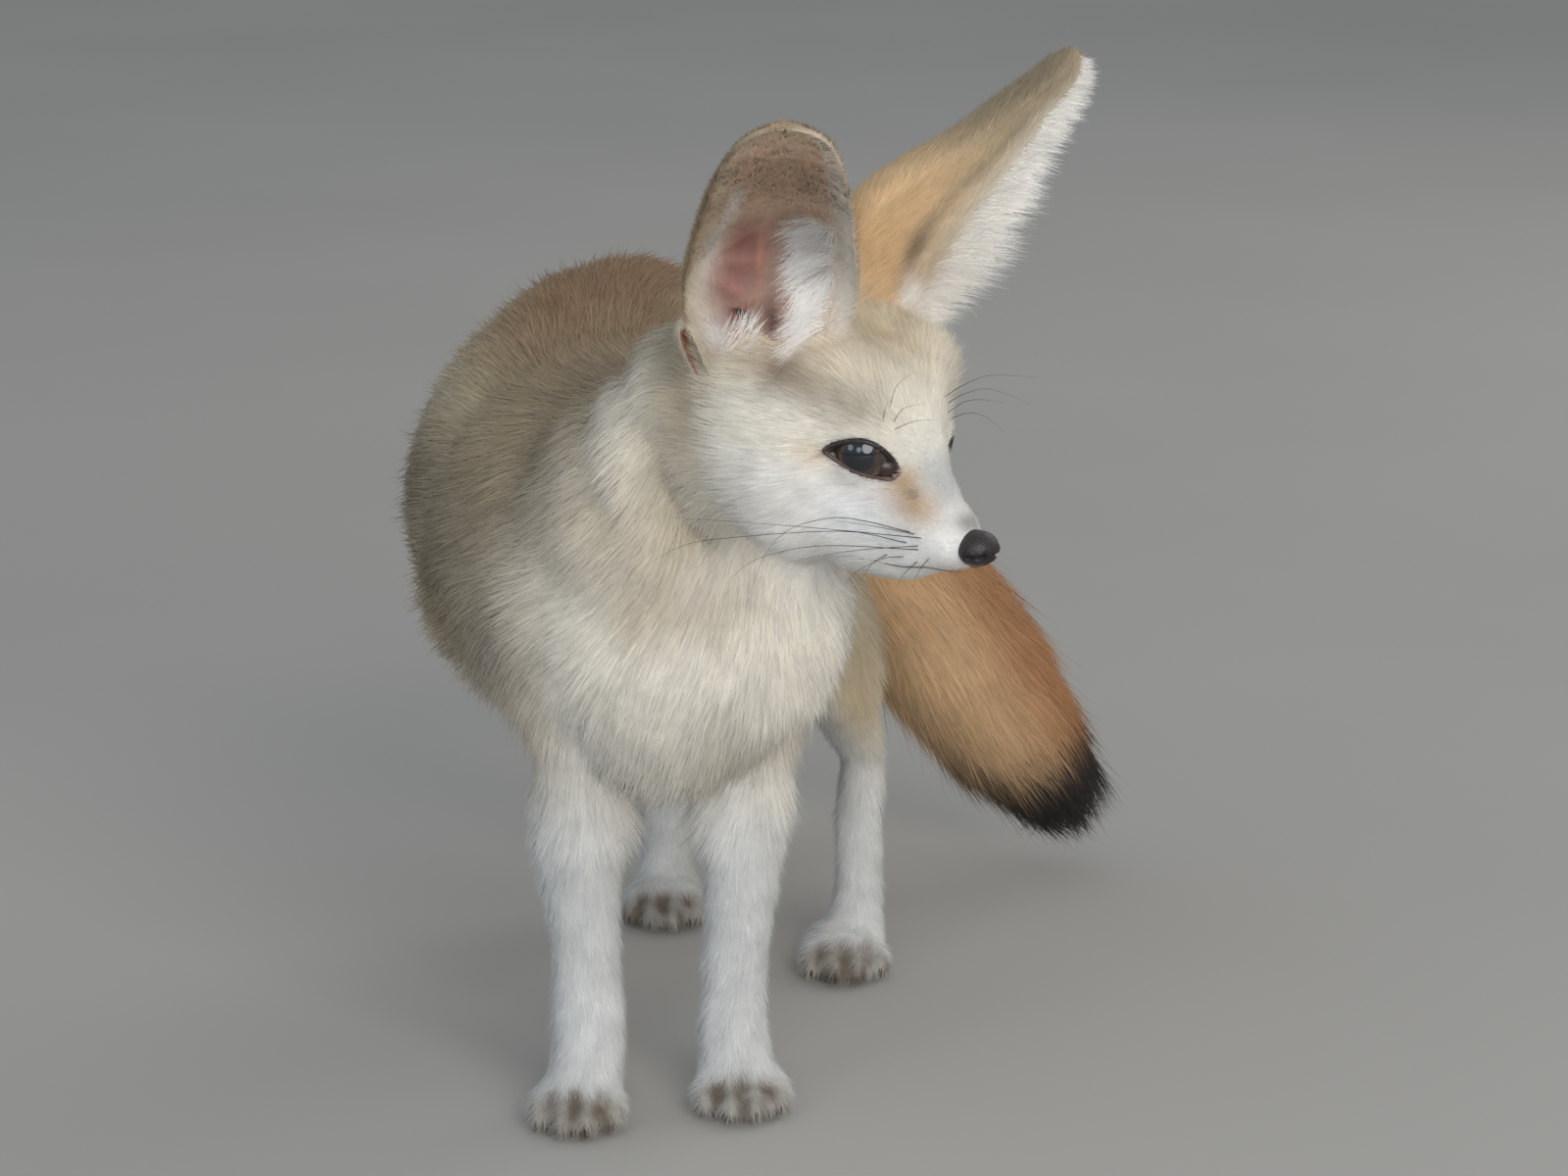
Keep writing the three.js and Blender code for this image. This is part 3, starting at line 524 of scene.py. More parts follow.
def mesh_normals(mesh):
    flat = np.empty(len(mesh.vertices) * 3, np.float32)
    mesh.vertex_normals.foreach_get("vector", flat)
    return flat.reshape(-1, 3).astype(float)


def relax(mesh, rounds, share):
    """Moves each point towards the middle of its neighbours. share is one number or one for each point."""
    edges = np.empty(len(mesh.edges) * 2, np.int32)
    mesh.edges.foreach_get("vertices", edges)
    a, b = edges.reshape(-1, 2).T
    points = mesh_points(mesh)
    count = np.bincount(np.concatenate([a, b]), minlength=len(points))[:, None]
    share = np.broadcast_to(share, len(points))[:, None]
    for _ in range(rounds):
        total = np.stack(
            [
                np.bincount(a, points[b, k], len(points)) + np.bincount(b, points[a, k], len(points))
                for k in range(3)
            ],
            axis=1,
        )
        points = points + (total / np.maximum(count, 1) - points) * share
    set_points(mesh, points)


def sweep(path, radius, sides, closed=False, normal=(0, 0, 1)):
    """A tube along a path. radius is one number or one for each point."""
    path = np.asarray(path, float)
    ahead = np.roll(path, -1, axis=0) - np.roll(path, 1, axis=0)
    if not closed:
        ahead[0] = path[1] - path[0]
        ahead[-1] = path[-1] - path[-2]
    ahead = unit(ahead)
    side = unit(np.cross(ahead, normal))
    lift = np.cross(side, ahead)
    turn = np.arange(sides) / sides * 2 * math.pi
    radius = np.broadcast_to(radius, len(path))[:, None, None]
    around = np.cos(turn)[None, :, None] * side[:, None] + np.sin(turn)[None, :, None] * lift[:, None]
    rings = path[:, None] + around * radius
    if not closed:
        return ring_mesh(rings, [path[0], path[-1]])
    count = len(path)
    faces = []
    for i in range(count):
        after = (i + 1) % count
        for j in range(sides):
            k = (j + 1) % sides
            faces.append((i * sides + j, i * sides + k, after * sides + k, after * sides + j))
    return rings.reshape(-1, 3), faces


def smooth_path(points, count, closed=False):
    """A smooth curve through some points, as that many points."""
    points = np.asarray(points, float)
    if closed:
        points = np.concatenate([points[-1:], points, points[:2]])
        t = 1 + np.arange(count) / count * (len(points) - 3)
    else:
        points = np.concatenate([2 * points[:1] - points[1:2], points, 2 * points[-1:] - points[-2:-1]])
        t = 1 + np.linspace(0, len(points) - 3, count)
    i = np.clip(t.astype(int), 1, len(points) - 3)
    f = (t - i)[:, None]
    p0, p1, p2, p3 = points[i - 1], points[i], points[i + 1], points[i + 2]
    square = 2 * p0 - 5 * p1 + 4 * p2 - p3
    cube = 3 * p1 - p0 - 3 * p2 + p3
    return 0.5 * (2 * p1 + f * (p2 - p0 + f * (square + f * cube)))


# Materials
def srgb(red, green, blue):
    """A colour named as it looks on a screen, 0 to 255, as the light it stands for."""
    value = np.array([red, green, blue]) / 255
    return np.where(value <= 0.04045, value / 12.92, ((value + 0.055) / 1.055) ** 2.4)


def principled(name, **sockets):
    material = bpy.data.materials.new(name)
    material.use_nodes = True
    tree = material.node_tree
    shader = tree.nodes["Principled BSDF"]
    for socket, value in sockets.items():
        shader.inputs[socket.replace("_", " ")].default_value = value
    return material, tree, shader


def add_node(tree, kind, **settings):
    node = tree.nodes.new(kind)
    for key, value in settings.items():
        if key in node.inputs:
            node.inputs[key].default_value = value
        else:
            setattr(node, key, value)
    return node


def object_noise(tree, scale, detail=4.0):
    """A noise that is fixed to the object."""
    where = add_node(tree, "ShaderNodeTexCoord")
    texture = add_node(tree, "ShaderNodeTexNoise", Scale=scale, Detail=detail, Roughness=0.5)
    tree.links.new(where.outputs["Object"], texture.inputs["Vector"])
    return texture.outputs["Fac"]


# The part of a noise's range that is spread from dark to light
NOISE_SPREAD = (0.3, 0.7)


def vary_colour(tree, shader, source, fac, dark, light):
    """Multiplies a colour by a noise that runs from dark to light."""
    ramp = add_node(tree, "ShaderNodeMapRange")
    ramp.inputs["To Min"].default_value = dark
    ramp.inputs["To Max"].default_value = light
    ramp.inputs["From Min"].default_value = NOISE_SPREAD[0]
    ramp.inputs["From Max"].default_value = NOISE_SPREAD[1]
    tree.links.new(fac, ramp.inputs["Value"])
    mix = add_node(tree, "ShaderNodeVectorMath", operation="SCALE")
    tree.links.new(source, mix.inputs[0])
    tree.links.new(ramp.outputs["Result"], mix.inputs["Scale"])
    tree.links.new(mix.outputs["Vector"], shader.inputs["Base Color"])


def add_bump(tree, shader, fac, strength, distance):
    bump = add_node(tree, "ShaderNodeBump", Strength=strength, Distance=distance)
    tree.links.new(fac, bump.inputs["Height"])
    tree.links.new(bump.outputs["Normal"], shader.inputs["Normal"])


def painted_material(name, roughness, dark, light, scale, detail=4.0, bump=None, **sockets):
    """A material whose colour is the piece's own paint, varied by a fine noise."""
    material, tree, shader = principled(name, Roughness=roughness, **sockets)
    attribute = add_node(tree, "ShaderNodeAttribute", attribute_name=PAINT)
    fac = object_noise(tree, scale, detail)
    vary_colour(tree, shader, attribute.outputs["Color"], fac, dark, light)
    if bump:
        add_bump(tree, shader, object_noise(tree, bump["scale"]), bump["strength"], bump["distance"])
    return material


def coat_material():
    return painted_material("fox coat", roughness=0.85, dark=0.93, light=1.07, scale=160)


def hide_material():
    bump = dict(scale=1400, strength=0.4, distance=0.0006)
    return painted_material("fox hide", roughness=0.9, dark=0.92, light=1.06, scale=900, bump=bump)


def ear_material():
    return painted_material(
        "ear skin", roughness=0.5, dark=0.88, light=1.1, scale=350,
        bump=dict(scale=900, strength=0.3, distance=0.0004),
        Subsurface_Weight=0.3, Subsurface_Radius=(1.0, 0.35, 0.25), Subsurface_Scale=0.0015,
    )


def eye_material():
    return painted_material(
        "eye", roughness=0.08, dark=0.7, light=1.3, scale=900, detail=6.0,
        IOR=1.4, Coat_Weight=1.0, Coat_Roughness=0.02,
    )


def lid_material(name, roughness):
    bump = dict(scale=1800, strength=0.4, distance=0.0003)
    return painted_material(name, roughness, dark=0.8, light=1.2, scale=1200, bump=bump)


def nose_material():
    material, tree, shader = principled("nose leather", Roughness=0.5, Coat_Weight=0.2, Coat_Roughness=0.2)
    attribute = add_node(tree, "ShaderNodeAttribute", attribute_name=PAINT)
    fac = object_noise(tree, 700)
    vary_colour(tree, shader, attribute.outputs["Color"], fac, dark=0.75, light=1.25)
    where = add_node(tree, "ShaderNodeTexCoord")
    cells = add_node(tree, "ShaderNodeTexVoronoi", Scale=1500.0)
    tree.links.new(where.outputs["Object"], cells.inputs["Vector"])
    add_bump(tree, shader, cells.outputs["Distance"], strength=0.6, distance=0.0004)
    return material


def even_material(name, colour, roughness, dark, light, scale):
    """A material of one colour, varied by a fine noise."""
    material, tree, shader = principled(name, Roughness=roughness)
    base = add_node(tree, "ShaderNodeRGB")
    base.outputs["Color"].default_value = (*colour, 1)
    vary_colour(tree, shader, base.outputs["Color"], object_noise(tree, scale), dark, light)
    return material


def horn_material(name, colour):
    return even_material(name, colour, roughness=0.45, dark=0.7, light=1.3, scale=500)


# Colours of the coat and skin
WHITE = srgb(236, 233, 228)
CREAM = srgb(228, 222, 209)
WARM_CREAM = srgb(220, 205, 178)
FRINGE_WHITE = srgb(226, 223, 217)
LEG_WHITE = srgb(210, 209, 206)
SAND = srgb(180, 161, 130)
YELLOW_SAND = srgb(196, 178, 142)
GREY_SAND = srgb(134, 122, 102)
RUFOUS = srgb(150, 119, 89)
TAN = srgb(214, 166, 110)
RUST = srgb(200, 168, 128)
LIGHT_RUST = srgb(226, 194, 154)
DARK_RUST = srgb(166, 118, 78)
BROWN = srgb(84, 67, 55)
MAUVE = srgb(128, 106, 96)
EAR_BASE_BROWN = srgb(140, 118, 98)
BLACK = srgb(38, 33, 31)
MUZZLE_TAN = srgb(182, 144, 98)
GREY_WHITE = srgb(214, 212, 208)
CHEEK_WHITE = srgb(244, 243, 241)
BRIDGE_GREY = srgb(196, 196, 194)
EAR_RIM = srgb(196, 184, 164)
EAR_RIM_TAN = srgb(158, 138, 110)
EAR_BACK_RIM = EAR_RIM_TAN * 1.25
EAR_TIP_BROWN = EAR_BASE_BROWN * 0.8
EAR_PINK = srgb(148, 102, 94)
EAR_RED = srgb(138, 78, 72)
EAR_ORANGE = srgb(166, 116, 96)
EAR_BROWN = srgb(204, 176, 152)
EAR_TAN = srgb(216, 186, 144)
EAR_MAUVE = srgb(128, 100, 94)
DARK_MAUVE = srgb(92, 56, 58)
CANAL_SHADE = srgb(34, 18, 18)


def plain(colour, like):
    """One colour for each of some points."""
    return np.tile(colour, (len(like), 1))


# The skin, from the body lines
def shape_face(points):
    """The swellings and hollows of the face, pushed out from the line of the head."""
    outward = unit(np.stack([np.zeros(len(points)), points[:, 1], points[:, 2] + FACE_AXIS_DEPTH], axis=1))
    pushed = points.copy()
    for forward, side, up, reach, push in FACE:
        for y in {side, -side}:
            distance = np.linalg.norm(points - np.array([forward, y, up]), axis=1)
            pushed += outward * (push * bell(distance, reach))[:, None]
    return pushed


def head_depth(t):
    """The coat's depth over the skin of the head, from its nose to its nape."""
    return np.interp(t, [0, 3, 5, 8, 11], [0.3, 0.5, 1.0, 1.5, 2.5])


def leg_depth(t, hind):
    return np.interp(t, [0, 2, 4, 8], [5, 3, 1.6, 1.1] if hind else [5, 2.4, 1.4, 1.1])


def tail_depth(t):
    """The coat of the tail is shorter at its root."""
    return -np.interp(t, [0, 2.5], [3, SKIN_DEPTH["tail"]])


def head_part():
    points, faces = skull.mesh(rings=60, around=64, domes=(2.5, 4), grow=lambda t: -head_depth(t))
    return on_head(shape_face(points)), faces


def paw_matrix(leg):
    turn = math.radians(leg["turn"])
    return np.array([[math.cos(turn), -math.sin(turn), 0], [math.sin(turn), math.cos(turn), 0], [0, 0, 1]])


def on_paw(leg, points):
    return np.asarray(points, float) @ paw_matrix(leg).T + np.array([*leg["paw"], 0])


def toes(leg):
    """The place of each toe on its paw: aside and ahead, with the outer ones set further back."""
    for step in (-1.5, -0.5, 0.5, 1.5):
        outer = abs(step) > 1
        yield step * PAW["toe_spacing"], (PAW["outer_back"] if outer else 0) - PAW["reach"]


def paw_parts(leg):
    depth = SKIN_DEPTH["paw"]
    rows = [(0, 12, 7, 9, 6, 7), (0, 4, 7.4, 12, 8, 8), (0, -6, 7, 13, 6.4, 7.6)]
    palm_rows = [(*on_paw(leg, row[:3]), *row[3:]) for row in rows]
    parts = [Loft(palm_rows).mesh(rings=9, around=24, domes=(4, 3), grow=-depth)]
    for aside, ahead in toes(leg):
        knuckle = on_paw(leg, (aside, ahead + 2.2, PAW["toe_rise"] + 0.6))
        tip = on_paw(leg, (aside, ahead - 3.4, PAW["toe_rise"] - 0.8))
        parts.append(ball_mesh(knuckle, (3.4 - depth * 0.4, 5.6, 5.6 - depth)))
        parts.append(ball_mesh(tip, (3.5 - depth * 0.4, 4.6, 4.9 - depth)))
    return parts


def eye_centre(side):
    return on_head((EYE["ahead"], side * EYE["aside"], 0))


# The roots of the ears under the coat: up, in front and on the facing side of the ear's root, then half sizes
EAR_ROOTS = [((-8, 0, -8), (14, 21, 17)), ((-7, 15, -3), (14, 13, 12)), ((-12, -9, -7), (11, 9, 10))]


def ear_root_parts():
    parts = []
    for ear in EARS.values():
        root, up, facing, front = ear_axes(ear)
        axes = np.stack([up, front, facing], axis=1)
        for place, size in EAR_ROOTS:
            points, faces = ball_mesh(np.zeros(3), size)
            parts.append((root + (points + place) @ axes.T, faced_out(points @ axes.T, faces)))
    return parts


LID_COVER = 0.7
TAIL_BONE_ROWS = 8


def skin_parts():
    parts = [
        trunk.mesh(rings=40, around=64, domes=(9, 6), grow=-SKIN_DEPTH["trunk"]),
        chest.mesh(rings=24, around=48, domes=(6, 5), grow=-SKIN_DEPTH["chest"]),
        neck.mesh(rings=24, around=48, domes=(4, 4), grow=-SKIN_DEPTH["neck"]),
        Loft(TAIL[:TAIL_BONE_ROWS]).mesh(rings=46, around=40, domes=(4, 14), grow=tail_depth),
        head_part(),
    ]
    for side in (1, -1):
        parts.append(ball_mesh(eye_centre(side), EYE["radius"] + LID_COVER, 20))
    parts += ear_root_parts()
    for name, leg in LEGS.items():
        hind = name.startswith("hind")
        grow = lambda t, hind=hind: -leg_depth(t, hind)
        parts.append(legs[name].mesh(rings=40, around=32, domes=(6, 3), grow=grow))
        parts += paw_parts(leg)
    return parts


# The opening between the lids, in millimetres on a plane across the eye: forwards and up.
# It runs from the outer corner over the upper lid to the inner corner and back under the ball.
EYE_OPENING = [
    (-9.3, -0.8), (-7.1, 1.2), (-4, 2.8), (-0.7, 3.9), (2.5, 3.9), (5.6, 2.7), (8.5, 0.4),
    (10.9, -2.2), (9.8, -4.5), (6.5, -5.0), (2.3, -4.6), (-1.4, -3.9), (-5.3, -2.9), (-7.9, -1.9),
]
EYE_AXIS = (0.5, 0.86, 0.06)
EYE_LENGTHWAYS = (0.86, -0.5, 0.0)


def eye_axes(side):
    """Columns: forwards along the opening, up across it, and out of the eye."""
    mirror = np.array([1, side, 1])
    out = head_direction(np.array(EYE_AXIS) * mirror)
    along = head_direction(np.array(EYE_LENGTHWAYS) * mirror)
    along = unit(along - out * (along @ out))
    up = np.cross(along, out) * side
    return np.stack([along, up, out], axis=1)


def eye_outline(count=72):
    flat = np.array([(a, b, 0.0) for a, b in EYE_OPENING])
    return smooth_path(flat, count, closed=True)[:, :2]


def inside_outline(flat, outline):
    """How far each flat point lies inside the closed outline, negative outside it."""
    after = np.roll(outline, -1, axis=0)
    nearest = np.full(len(flat), np.inf)
    crossings = np.zeros(len(flat), int)
    for (x0, y0), (x1, y1) in zip(outline, after):
        edge = np.array([x1 - x0, y1 - y0])
        t = np.clip(((flat - (x0, y0)) @ edge) / (edge @ edge), 0, 1)
        gap = np.linalg.norm(flat - ((x0, y0) + t[:, None] * edge), axis=1)
        nearest = np.minimum(nearest, gap)
        spans = (flat[:, 1] > y0) != (flat[:, 1] > y1)
        cut = x0 + (flat[:, 1] - y0) / (y1 - y0 + 1e-12) * (x1 - x0)
        crossings += spans & (flat[:, 0] < cut)
    return np.where(crossings % 2 == 1, nearest, -nearest)


# The skin round an eye within this distance can belong to its opening.
EYE_SURROUND = 16


def near_eye(local):
    """Which points, given on an eye's axes, lie on its outer side and close to it."""
    return (np.linalg.norm(local, axis=1) < EYE_SURROUND) & (local[:, 2] > 0)


def open_eyes(points):
    """Sinks the skin behind the ball where the lids part."""
    outline = eye_outline()
    opened = points.copy()
    for side in (1, -1):
        axes = eye_axes(side)
        local = (points - eye_centre(side)) @ axes
        near = near_eye(local)
        depth = inside_outline(local[near][:, :2], outline)
        share = smooth(depth, -0.4, 0.9)
        behind = unit(local[near]) * (EYE["radius"] - 2.0)
        moved = local[near] + (behind - local[near]) * share[:, None]
        opened[near] = moved @ axes.T + eye_centre(side)
    return opened


# Folds where the coat parts: the line's points, its reach and its depth
FOLDS = [
    ([(-10, 24, 214), (-4, 4, 212), (-2, -11, 199), (1, -14, 186), (8, -12, 174)], 4.5, 5.0),
    ([(-15, 32, 208), (-16, 14, 204), (-15, 0, 192), (-12, -8, 178)], 4.5, 3.0),
    (
        [(-6, 84, 208), (-18, 82, 206), (-37, 66, 200), (-55, 62, 191), (-67, 66, 175), (-70, 66, 158)],
        9.0, 2.6,
    ),
    ([(-62, 50, 142), (-58, 44, 124), (-48, 34, 108)], 8.0, 2.5),
]


# A fold this deep is tinted and darkened with painted shade in full.
FULL_FOLD = 4


def fold_depth(points):
    """How far the folds sink the skin at each point."""
    depth = np.zeros(len(points))
    for line, reach, deep in FOLDS:
        nearest = np.full(len(points), np.inf)
        for place in smooth_path(line, 28):
            nearest = np.minimum(nearest, np.linalg.norm(points - place, axis=1))
        depth = np.maximum(depth, deep * bell(np.maximum(nearest - 1, 0), reach))
    return depth


# The unevenness of the coat under its tufts: height, size and seed of the noise
SKIN_LUMPS = [(1.3, 21, 61), (0.5, 9, 62)]


def build_skin():
    points, faces = join_parts(skin_parts())
    mesh = remeshed(points, faces, SKIN_VOXEL)
    points = mesh_points(mesh)
    head = to_head(points)
    face = smooth(head[:, 0], -12, 4) * bell(np.maximum(np.linalg.norm(head, axis=1) - 45, 0), 8)
    paws = smooth(points[:, 2], 30, 14)
    relax(mesh, rounds=10, share=0.5 * (1 - face) * (1 - 0.15 * paws) + 0.06)
    inner = bell(np.maximum(np.linalg.norm(head - (-4, 0, -2), axis=1) - 33, 0), 7)
    relax(mesh, rounds=40, share=0.5 * (1 - inner) * smooth(points[:, 2], 76, 108))
    points = mesh_points(mesh)
    lumps = sum(high * noise(points, size, seed) for high, size, seed in SKIN_LUMPS)
    lumps = lumps * (1 - inner) * smooth(points[:, 2], 8, 40)
    set_points(mesh, points + mesh_normals(mesh) * (lumps - fold_depth(points))[:, None])
    return mesh


# The lie and look of the coat on the skin
BODY_LINES = {
    "trunk": (trunk, 1), "chest": (chest, 1), "neck": (neck, -1), "tail": (tail, 1),
    "fore_left": (legs["fore_left"], 1), "fore_right": (legs["fore_right"], 1),
    "hind_left": (legs["hind_left"], 1), "hind_right": (legs["hind_right"], 1),
}


def nearest_station(body, points, stations=120):
    """For each point: how far out of the body line it lies, in radii, and the row that is nearest."""
    t = np.linspace(0, body.last, stations)
    centres, tangents, _, _ = body.frame(t)
    radius = body.read(t)[:, 3:].mean(axis=1)
    best = np.full(len(points), np.inf)
    row = np.zeros(len(points), int)
    for k in range(stations):
        distance = np.linalg.norm(points - centres[k], axis=1) / radius[k]
        closer = distance < best
        best = np.where(closer, distance, best)
        row = np.where(closer, k, row)
    return best, t[row], tangents[row]


# The head ends at a plane behind the cheeks: a point of it and the way it faces, in the head's frame.
CHEEK_EDGE = dict(at=(-41, 0, -15), facing=(-0.74, 0, -0.67))


def head_share(points):
    """1 on the head, 0 on the neck, with a soft edge behind the cheeks."""
    head = to_head(points)
    facing = unit(np.array(CHEEK_EDGE["facing"]))
    behind = head @ facing - np.array(CHEEK_EDGE["at"]) @ facing
    near = bell(np.maximum(np.linalg.norm(head - (-15, 0, -5), axis=1) - 52, 0), 6)
    return (1 - smooth(behind, -5, 7)) * near


def head_lie(head):
    """The hair's heading on the head, in its own frame: back from the nose, up the brow, down the cheeks."""
    x, y, z = head.T
    away = np.sign(y) * (0.25 + 0.5 * smooth(np.abs(y), 4, 26)) * smooth(np.abs(y), 0, 4)
    above_eye = smooth(z, 2, 14) * smooth(x, -28, 4)
    below = smooth(z, -2, -22) * smooth(x, 16, -10)
    rise = 0.75 * above_eye - 0.75 * below - 0.1
    return unit(np.stack([-np.ones(len(head)), away, rise], axis=1))


class Hide:
    """A skin with, at each point, the lie, size and colour of the coat that grows there."""

    def __init__(self, mesh):
        self.mesh = mesh
        mesh.calc_loop_triangles()
        flat = np.empty(len(mesh.loop_triangles) * 3, np.int32)
        mesh.loop_triangles.foreach_get("vertices", flat)
        self.triangles = flat.reshape(-1, 3)
        loops = np.empty(len(mesh.loop_triangles) * 3, np.int32)
        mesh.loop_triangles.foreach_get("loops", loops)
        self.loops = loops.reshape(-1, 3)
        self.points = mesh_points(mesh)
        self.normals = mesh_normals(mesh)
        self.values = {}

    def unwrap(self):
        """The bake map: an unwrap of the skin's own shape."""
        mesh = self.mesh
        mesh.uv_layers.new(name="OFBake")
        holder = bpy.data.objects.new("unwrap", mesh)
        bpy.context.scene.collection.objects.link(holder)
        bpy.context.view_layer.objects.active = holder
        holder.select_set(True)
        bpy.ops.object.mode_set(mode="EDIT")
        bpy.ops.mesh.select_all(action="SELECT")
        bpy.ops.uv.smart_project(angle_limit=math.radians(66), island_margin=0.002)
        bpy.ops.object.mode_set(mode="OBJECT")
        bpy.data.objects.remove(holder)
        flat = np.empty(len(mesh.loops) * 2, np.float32)
        mesh.uv_layers["OFBake"].uv.foreach_get("vector", flat)
        self.map = flat.reshape(-1, 2)


# How softly one region turns into the next, in radii, and the heights over which the trunk's coat begins
REGION_EDGE = 0.34
BODY_STARTS = (50, 72)


def skin_regions(points):
    """The share of each region at each point of the skin."""
    distances, headings = {}, {}
    for name, (body, sense) in BODY_LINES.items():
        distances[name], _, tangent = nearest_station(body, points)
        headings[name] = tangent * sense
    table = np.stack(list(distances.values()), axis=1)
    excess = table - table.min(axis=1, keepdims=True)
    shares = np.exp(-((excess / REGION_EDGE) ** 2))
    off_the_feet = np.array([name in ("trunk", "chest", "neck") for name in distances])
    shares = shares * np.where(off_the_feet, smooth(points[:, 2], *BODY_STARTS)[:, None], 1)
    shares /= shares.sum(axis=1, keepdims=True)
    on = head_share(points)
    regions = {name: shares[:, k] * (1 - on) for k, name in enumerate(distances)}
    regions["head"] = on
    return regions, headings


# Coat in each region: tufts per square millimetre, length, width and rise in degrees
COATS = {
    "muzzle": (5.0, 2.2, 0.24, 16),
    "brow": (3.8, 4.2, 0.27, 18),
    "cheek": (3.0, 7.0, 0.3, 17),
    "nape": (2.4, 9, 0.32, 15),
    "neck": (2.2, 13, 0.36, 15),
    "chest": (2.2, 14, 0.38, 16),
    "trunk": (1.36, 15, 0.39, 15),
    "tail": (1.75, 24, 0.4, 18),
    "leg": (1.9, 5.8, 0.27, 19),
    "paw": (3.1, 4.4, 0.26, 24),
}


def mix_coats(shares):
    total = sum(shares.values())
    mixed = 0
    for name, share in shares.items():
        mixed = mixed + np.outer(share / total, COATS[name])
    return mixed


def coat_shares(points, regions):
    head = to_head(points)
    x, y, z = head.T
    on = regions["head"]
    muzzle = smooth(x, 6, 16)
    behind = smooth(x, -16, -34)
    low = smooth(z, 4, -14) * (1 - muzzle)
    legs_share = sum(regions[name] for name in LEGS)
    long_leg = smooth(points[:, 2], 74, 108)
    paw = smooth(points[:, 2], 26, 12)
    return {
        "muzzle": on * muzzle,
        "nape": on * behind * (1 - muzzle),
        "cheek": on * low * (1 - behind),
        "brow": on * (1 - muzzle) * (1 - low) * (1 - behind),
        "neck": regions["neck"],
        "chest": regions["chest"] + legs_share * long_leg,
        "trunk": regions["trunk"],
        "tail": regions["tail"],
        "leg": legs_share * (1 - long_leg) * (1 - paw),
        "paw": legs_share * paw + 1e-6,
    }


# Patches of the face: forward, side and up in the head's frame, their reaches, colour and strength
FACE_PATCHES = [
    ((5, 14, -16), (17, 10, 9), CHEEK_WHITE, 0.9),
    ((2, 20, 12), (9, 9, 6), GREY_SAND, 0.4),
    ((-4, 24, -2), (5, 5, 3), TAN, 0.25),
    ((-19, 28, 17), (8, 7, 6), EAR_BASE_BROWN, 0.75),
    ((-10, 26, 15), (9, 6, 4), EAR_BASE_BROWN, 0.5),
    ((-8, 5, 26), (15, 7, 8), SAND, 0.5),
    ((20, 2.5, -3), (13, 5, 6), BRIDGE_GREY, 0.9),
    ((19.5, 9.5, -9.5), (7, 6, 5), MUZZLE_TAN, 0.8),
    ((14, 9.5, -4.5), (4.5, 3.5, 4), MUZZLE_TAN, 0.85),
    ((17.5, 9, -6.5), (1.6, 1.6, 1.2), BROWN, 0.7),
    ((31.5, 1.5, -10.5), (3, 3.5, 2.5), BROWN, 0.6),
]


def head_colour(head):
    x, y, z = head.T
    mirrored = np.stack([x, np.abs(y), z], axis=1)
    crown = smooth(z, 6, 20) * smooth(x, 12, -12)
    colour = blend(plain(CREAM, head), WARM_CREAM, crown * 0.8)
    colour = blend(colour, WHITE, smooth(z, 0, -10) * smooth(x, -34, -8) * 0.8)
    colour = blend(colour, WHITE, smooth(x, 12, 24))
    colour = blend(colour, SAND, smooth(x, -24, -42) * 0.75)
    for middle, reach, patch, strength in FACE_PATCHES:
        distance = np.linalg.norm((mirrored - middle) / reach, axis=1)
        colour = blend(colour, patch, bell(distance, 1) * strength)
    return colour


def trunk_colour(points):
    _, t, _ = nearest_station(trunk, points, 60)
    middle, _, across, up = trunk.frame(t)
    out = points - middle
    high = dots(out, up)
    wide = dots(out, across)
    lean = np.degrees(np.arctan2(np.abs(wide), high))
    behind = smooth(t, 2.6, 3.5)
    colour = blend(plain(SAND, points), GREY_SAND, bell(lean - 72, 34) * 0.95)
    colour = blend(colour, RUFOUS, smooth(lean, 40, 10) * (0.35 + 0.6 * behind))
    colour = blend(colour, WARM_CREAM, bell(lean - 45, 12) * behind * 0.45)
    colour = blend(colour, CREAM, smooth(lean, 100, 140))
    streaks = smooth(noise(points * (1, 1, 0.6), 15, 9), 0.2, 0.7) * smooth(lean, 30, 60)
    colour = blend(colour, WARM_CREAM, streaks * 0.45)
    front = smooth(points[:, 1], 36, 4) * smooth(points[:, 0], -50, -20)
    return blend(colour, CREAM, front * np.maximum(smooth(lean, 25, 60), smooth(t, 0.6, 0.1)))


def tail_colour(points):
    _, t, _ = nearest_station(tail, points, 60)
    colour = blend(plain(SAND, points), RUST, smooth(t, 0.2, 1.4))
    colour = blend(colour, LIGHT_RUST, np.clip(noise(points, 26, 5) + 0.2, 0, 1) * 0.5)
    colour = blend(colour, DARK_RUST, smooth(t, 4.6, 6.6) * 0.5)
    aside = (points[:, 0] - tail.frame(t)[0][:, 0]) / 20
    colour = blend(colour, DARK_RUST, smooth(aside, 0.1, 0.8) * 0.95)
    under = -((points - tail.frame(t)[0]) @ np.array([0.6, 0, 0.8])) / 20
    colour = blend(colour, BLACK, smooth(under, 0.1, 0.9) * smooth(t, 4.7, 5.7) * 0.8)
    return blend(colour, BLACK, smooth(t, 5.45, 6.1))


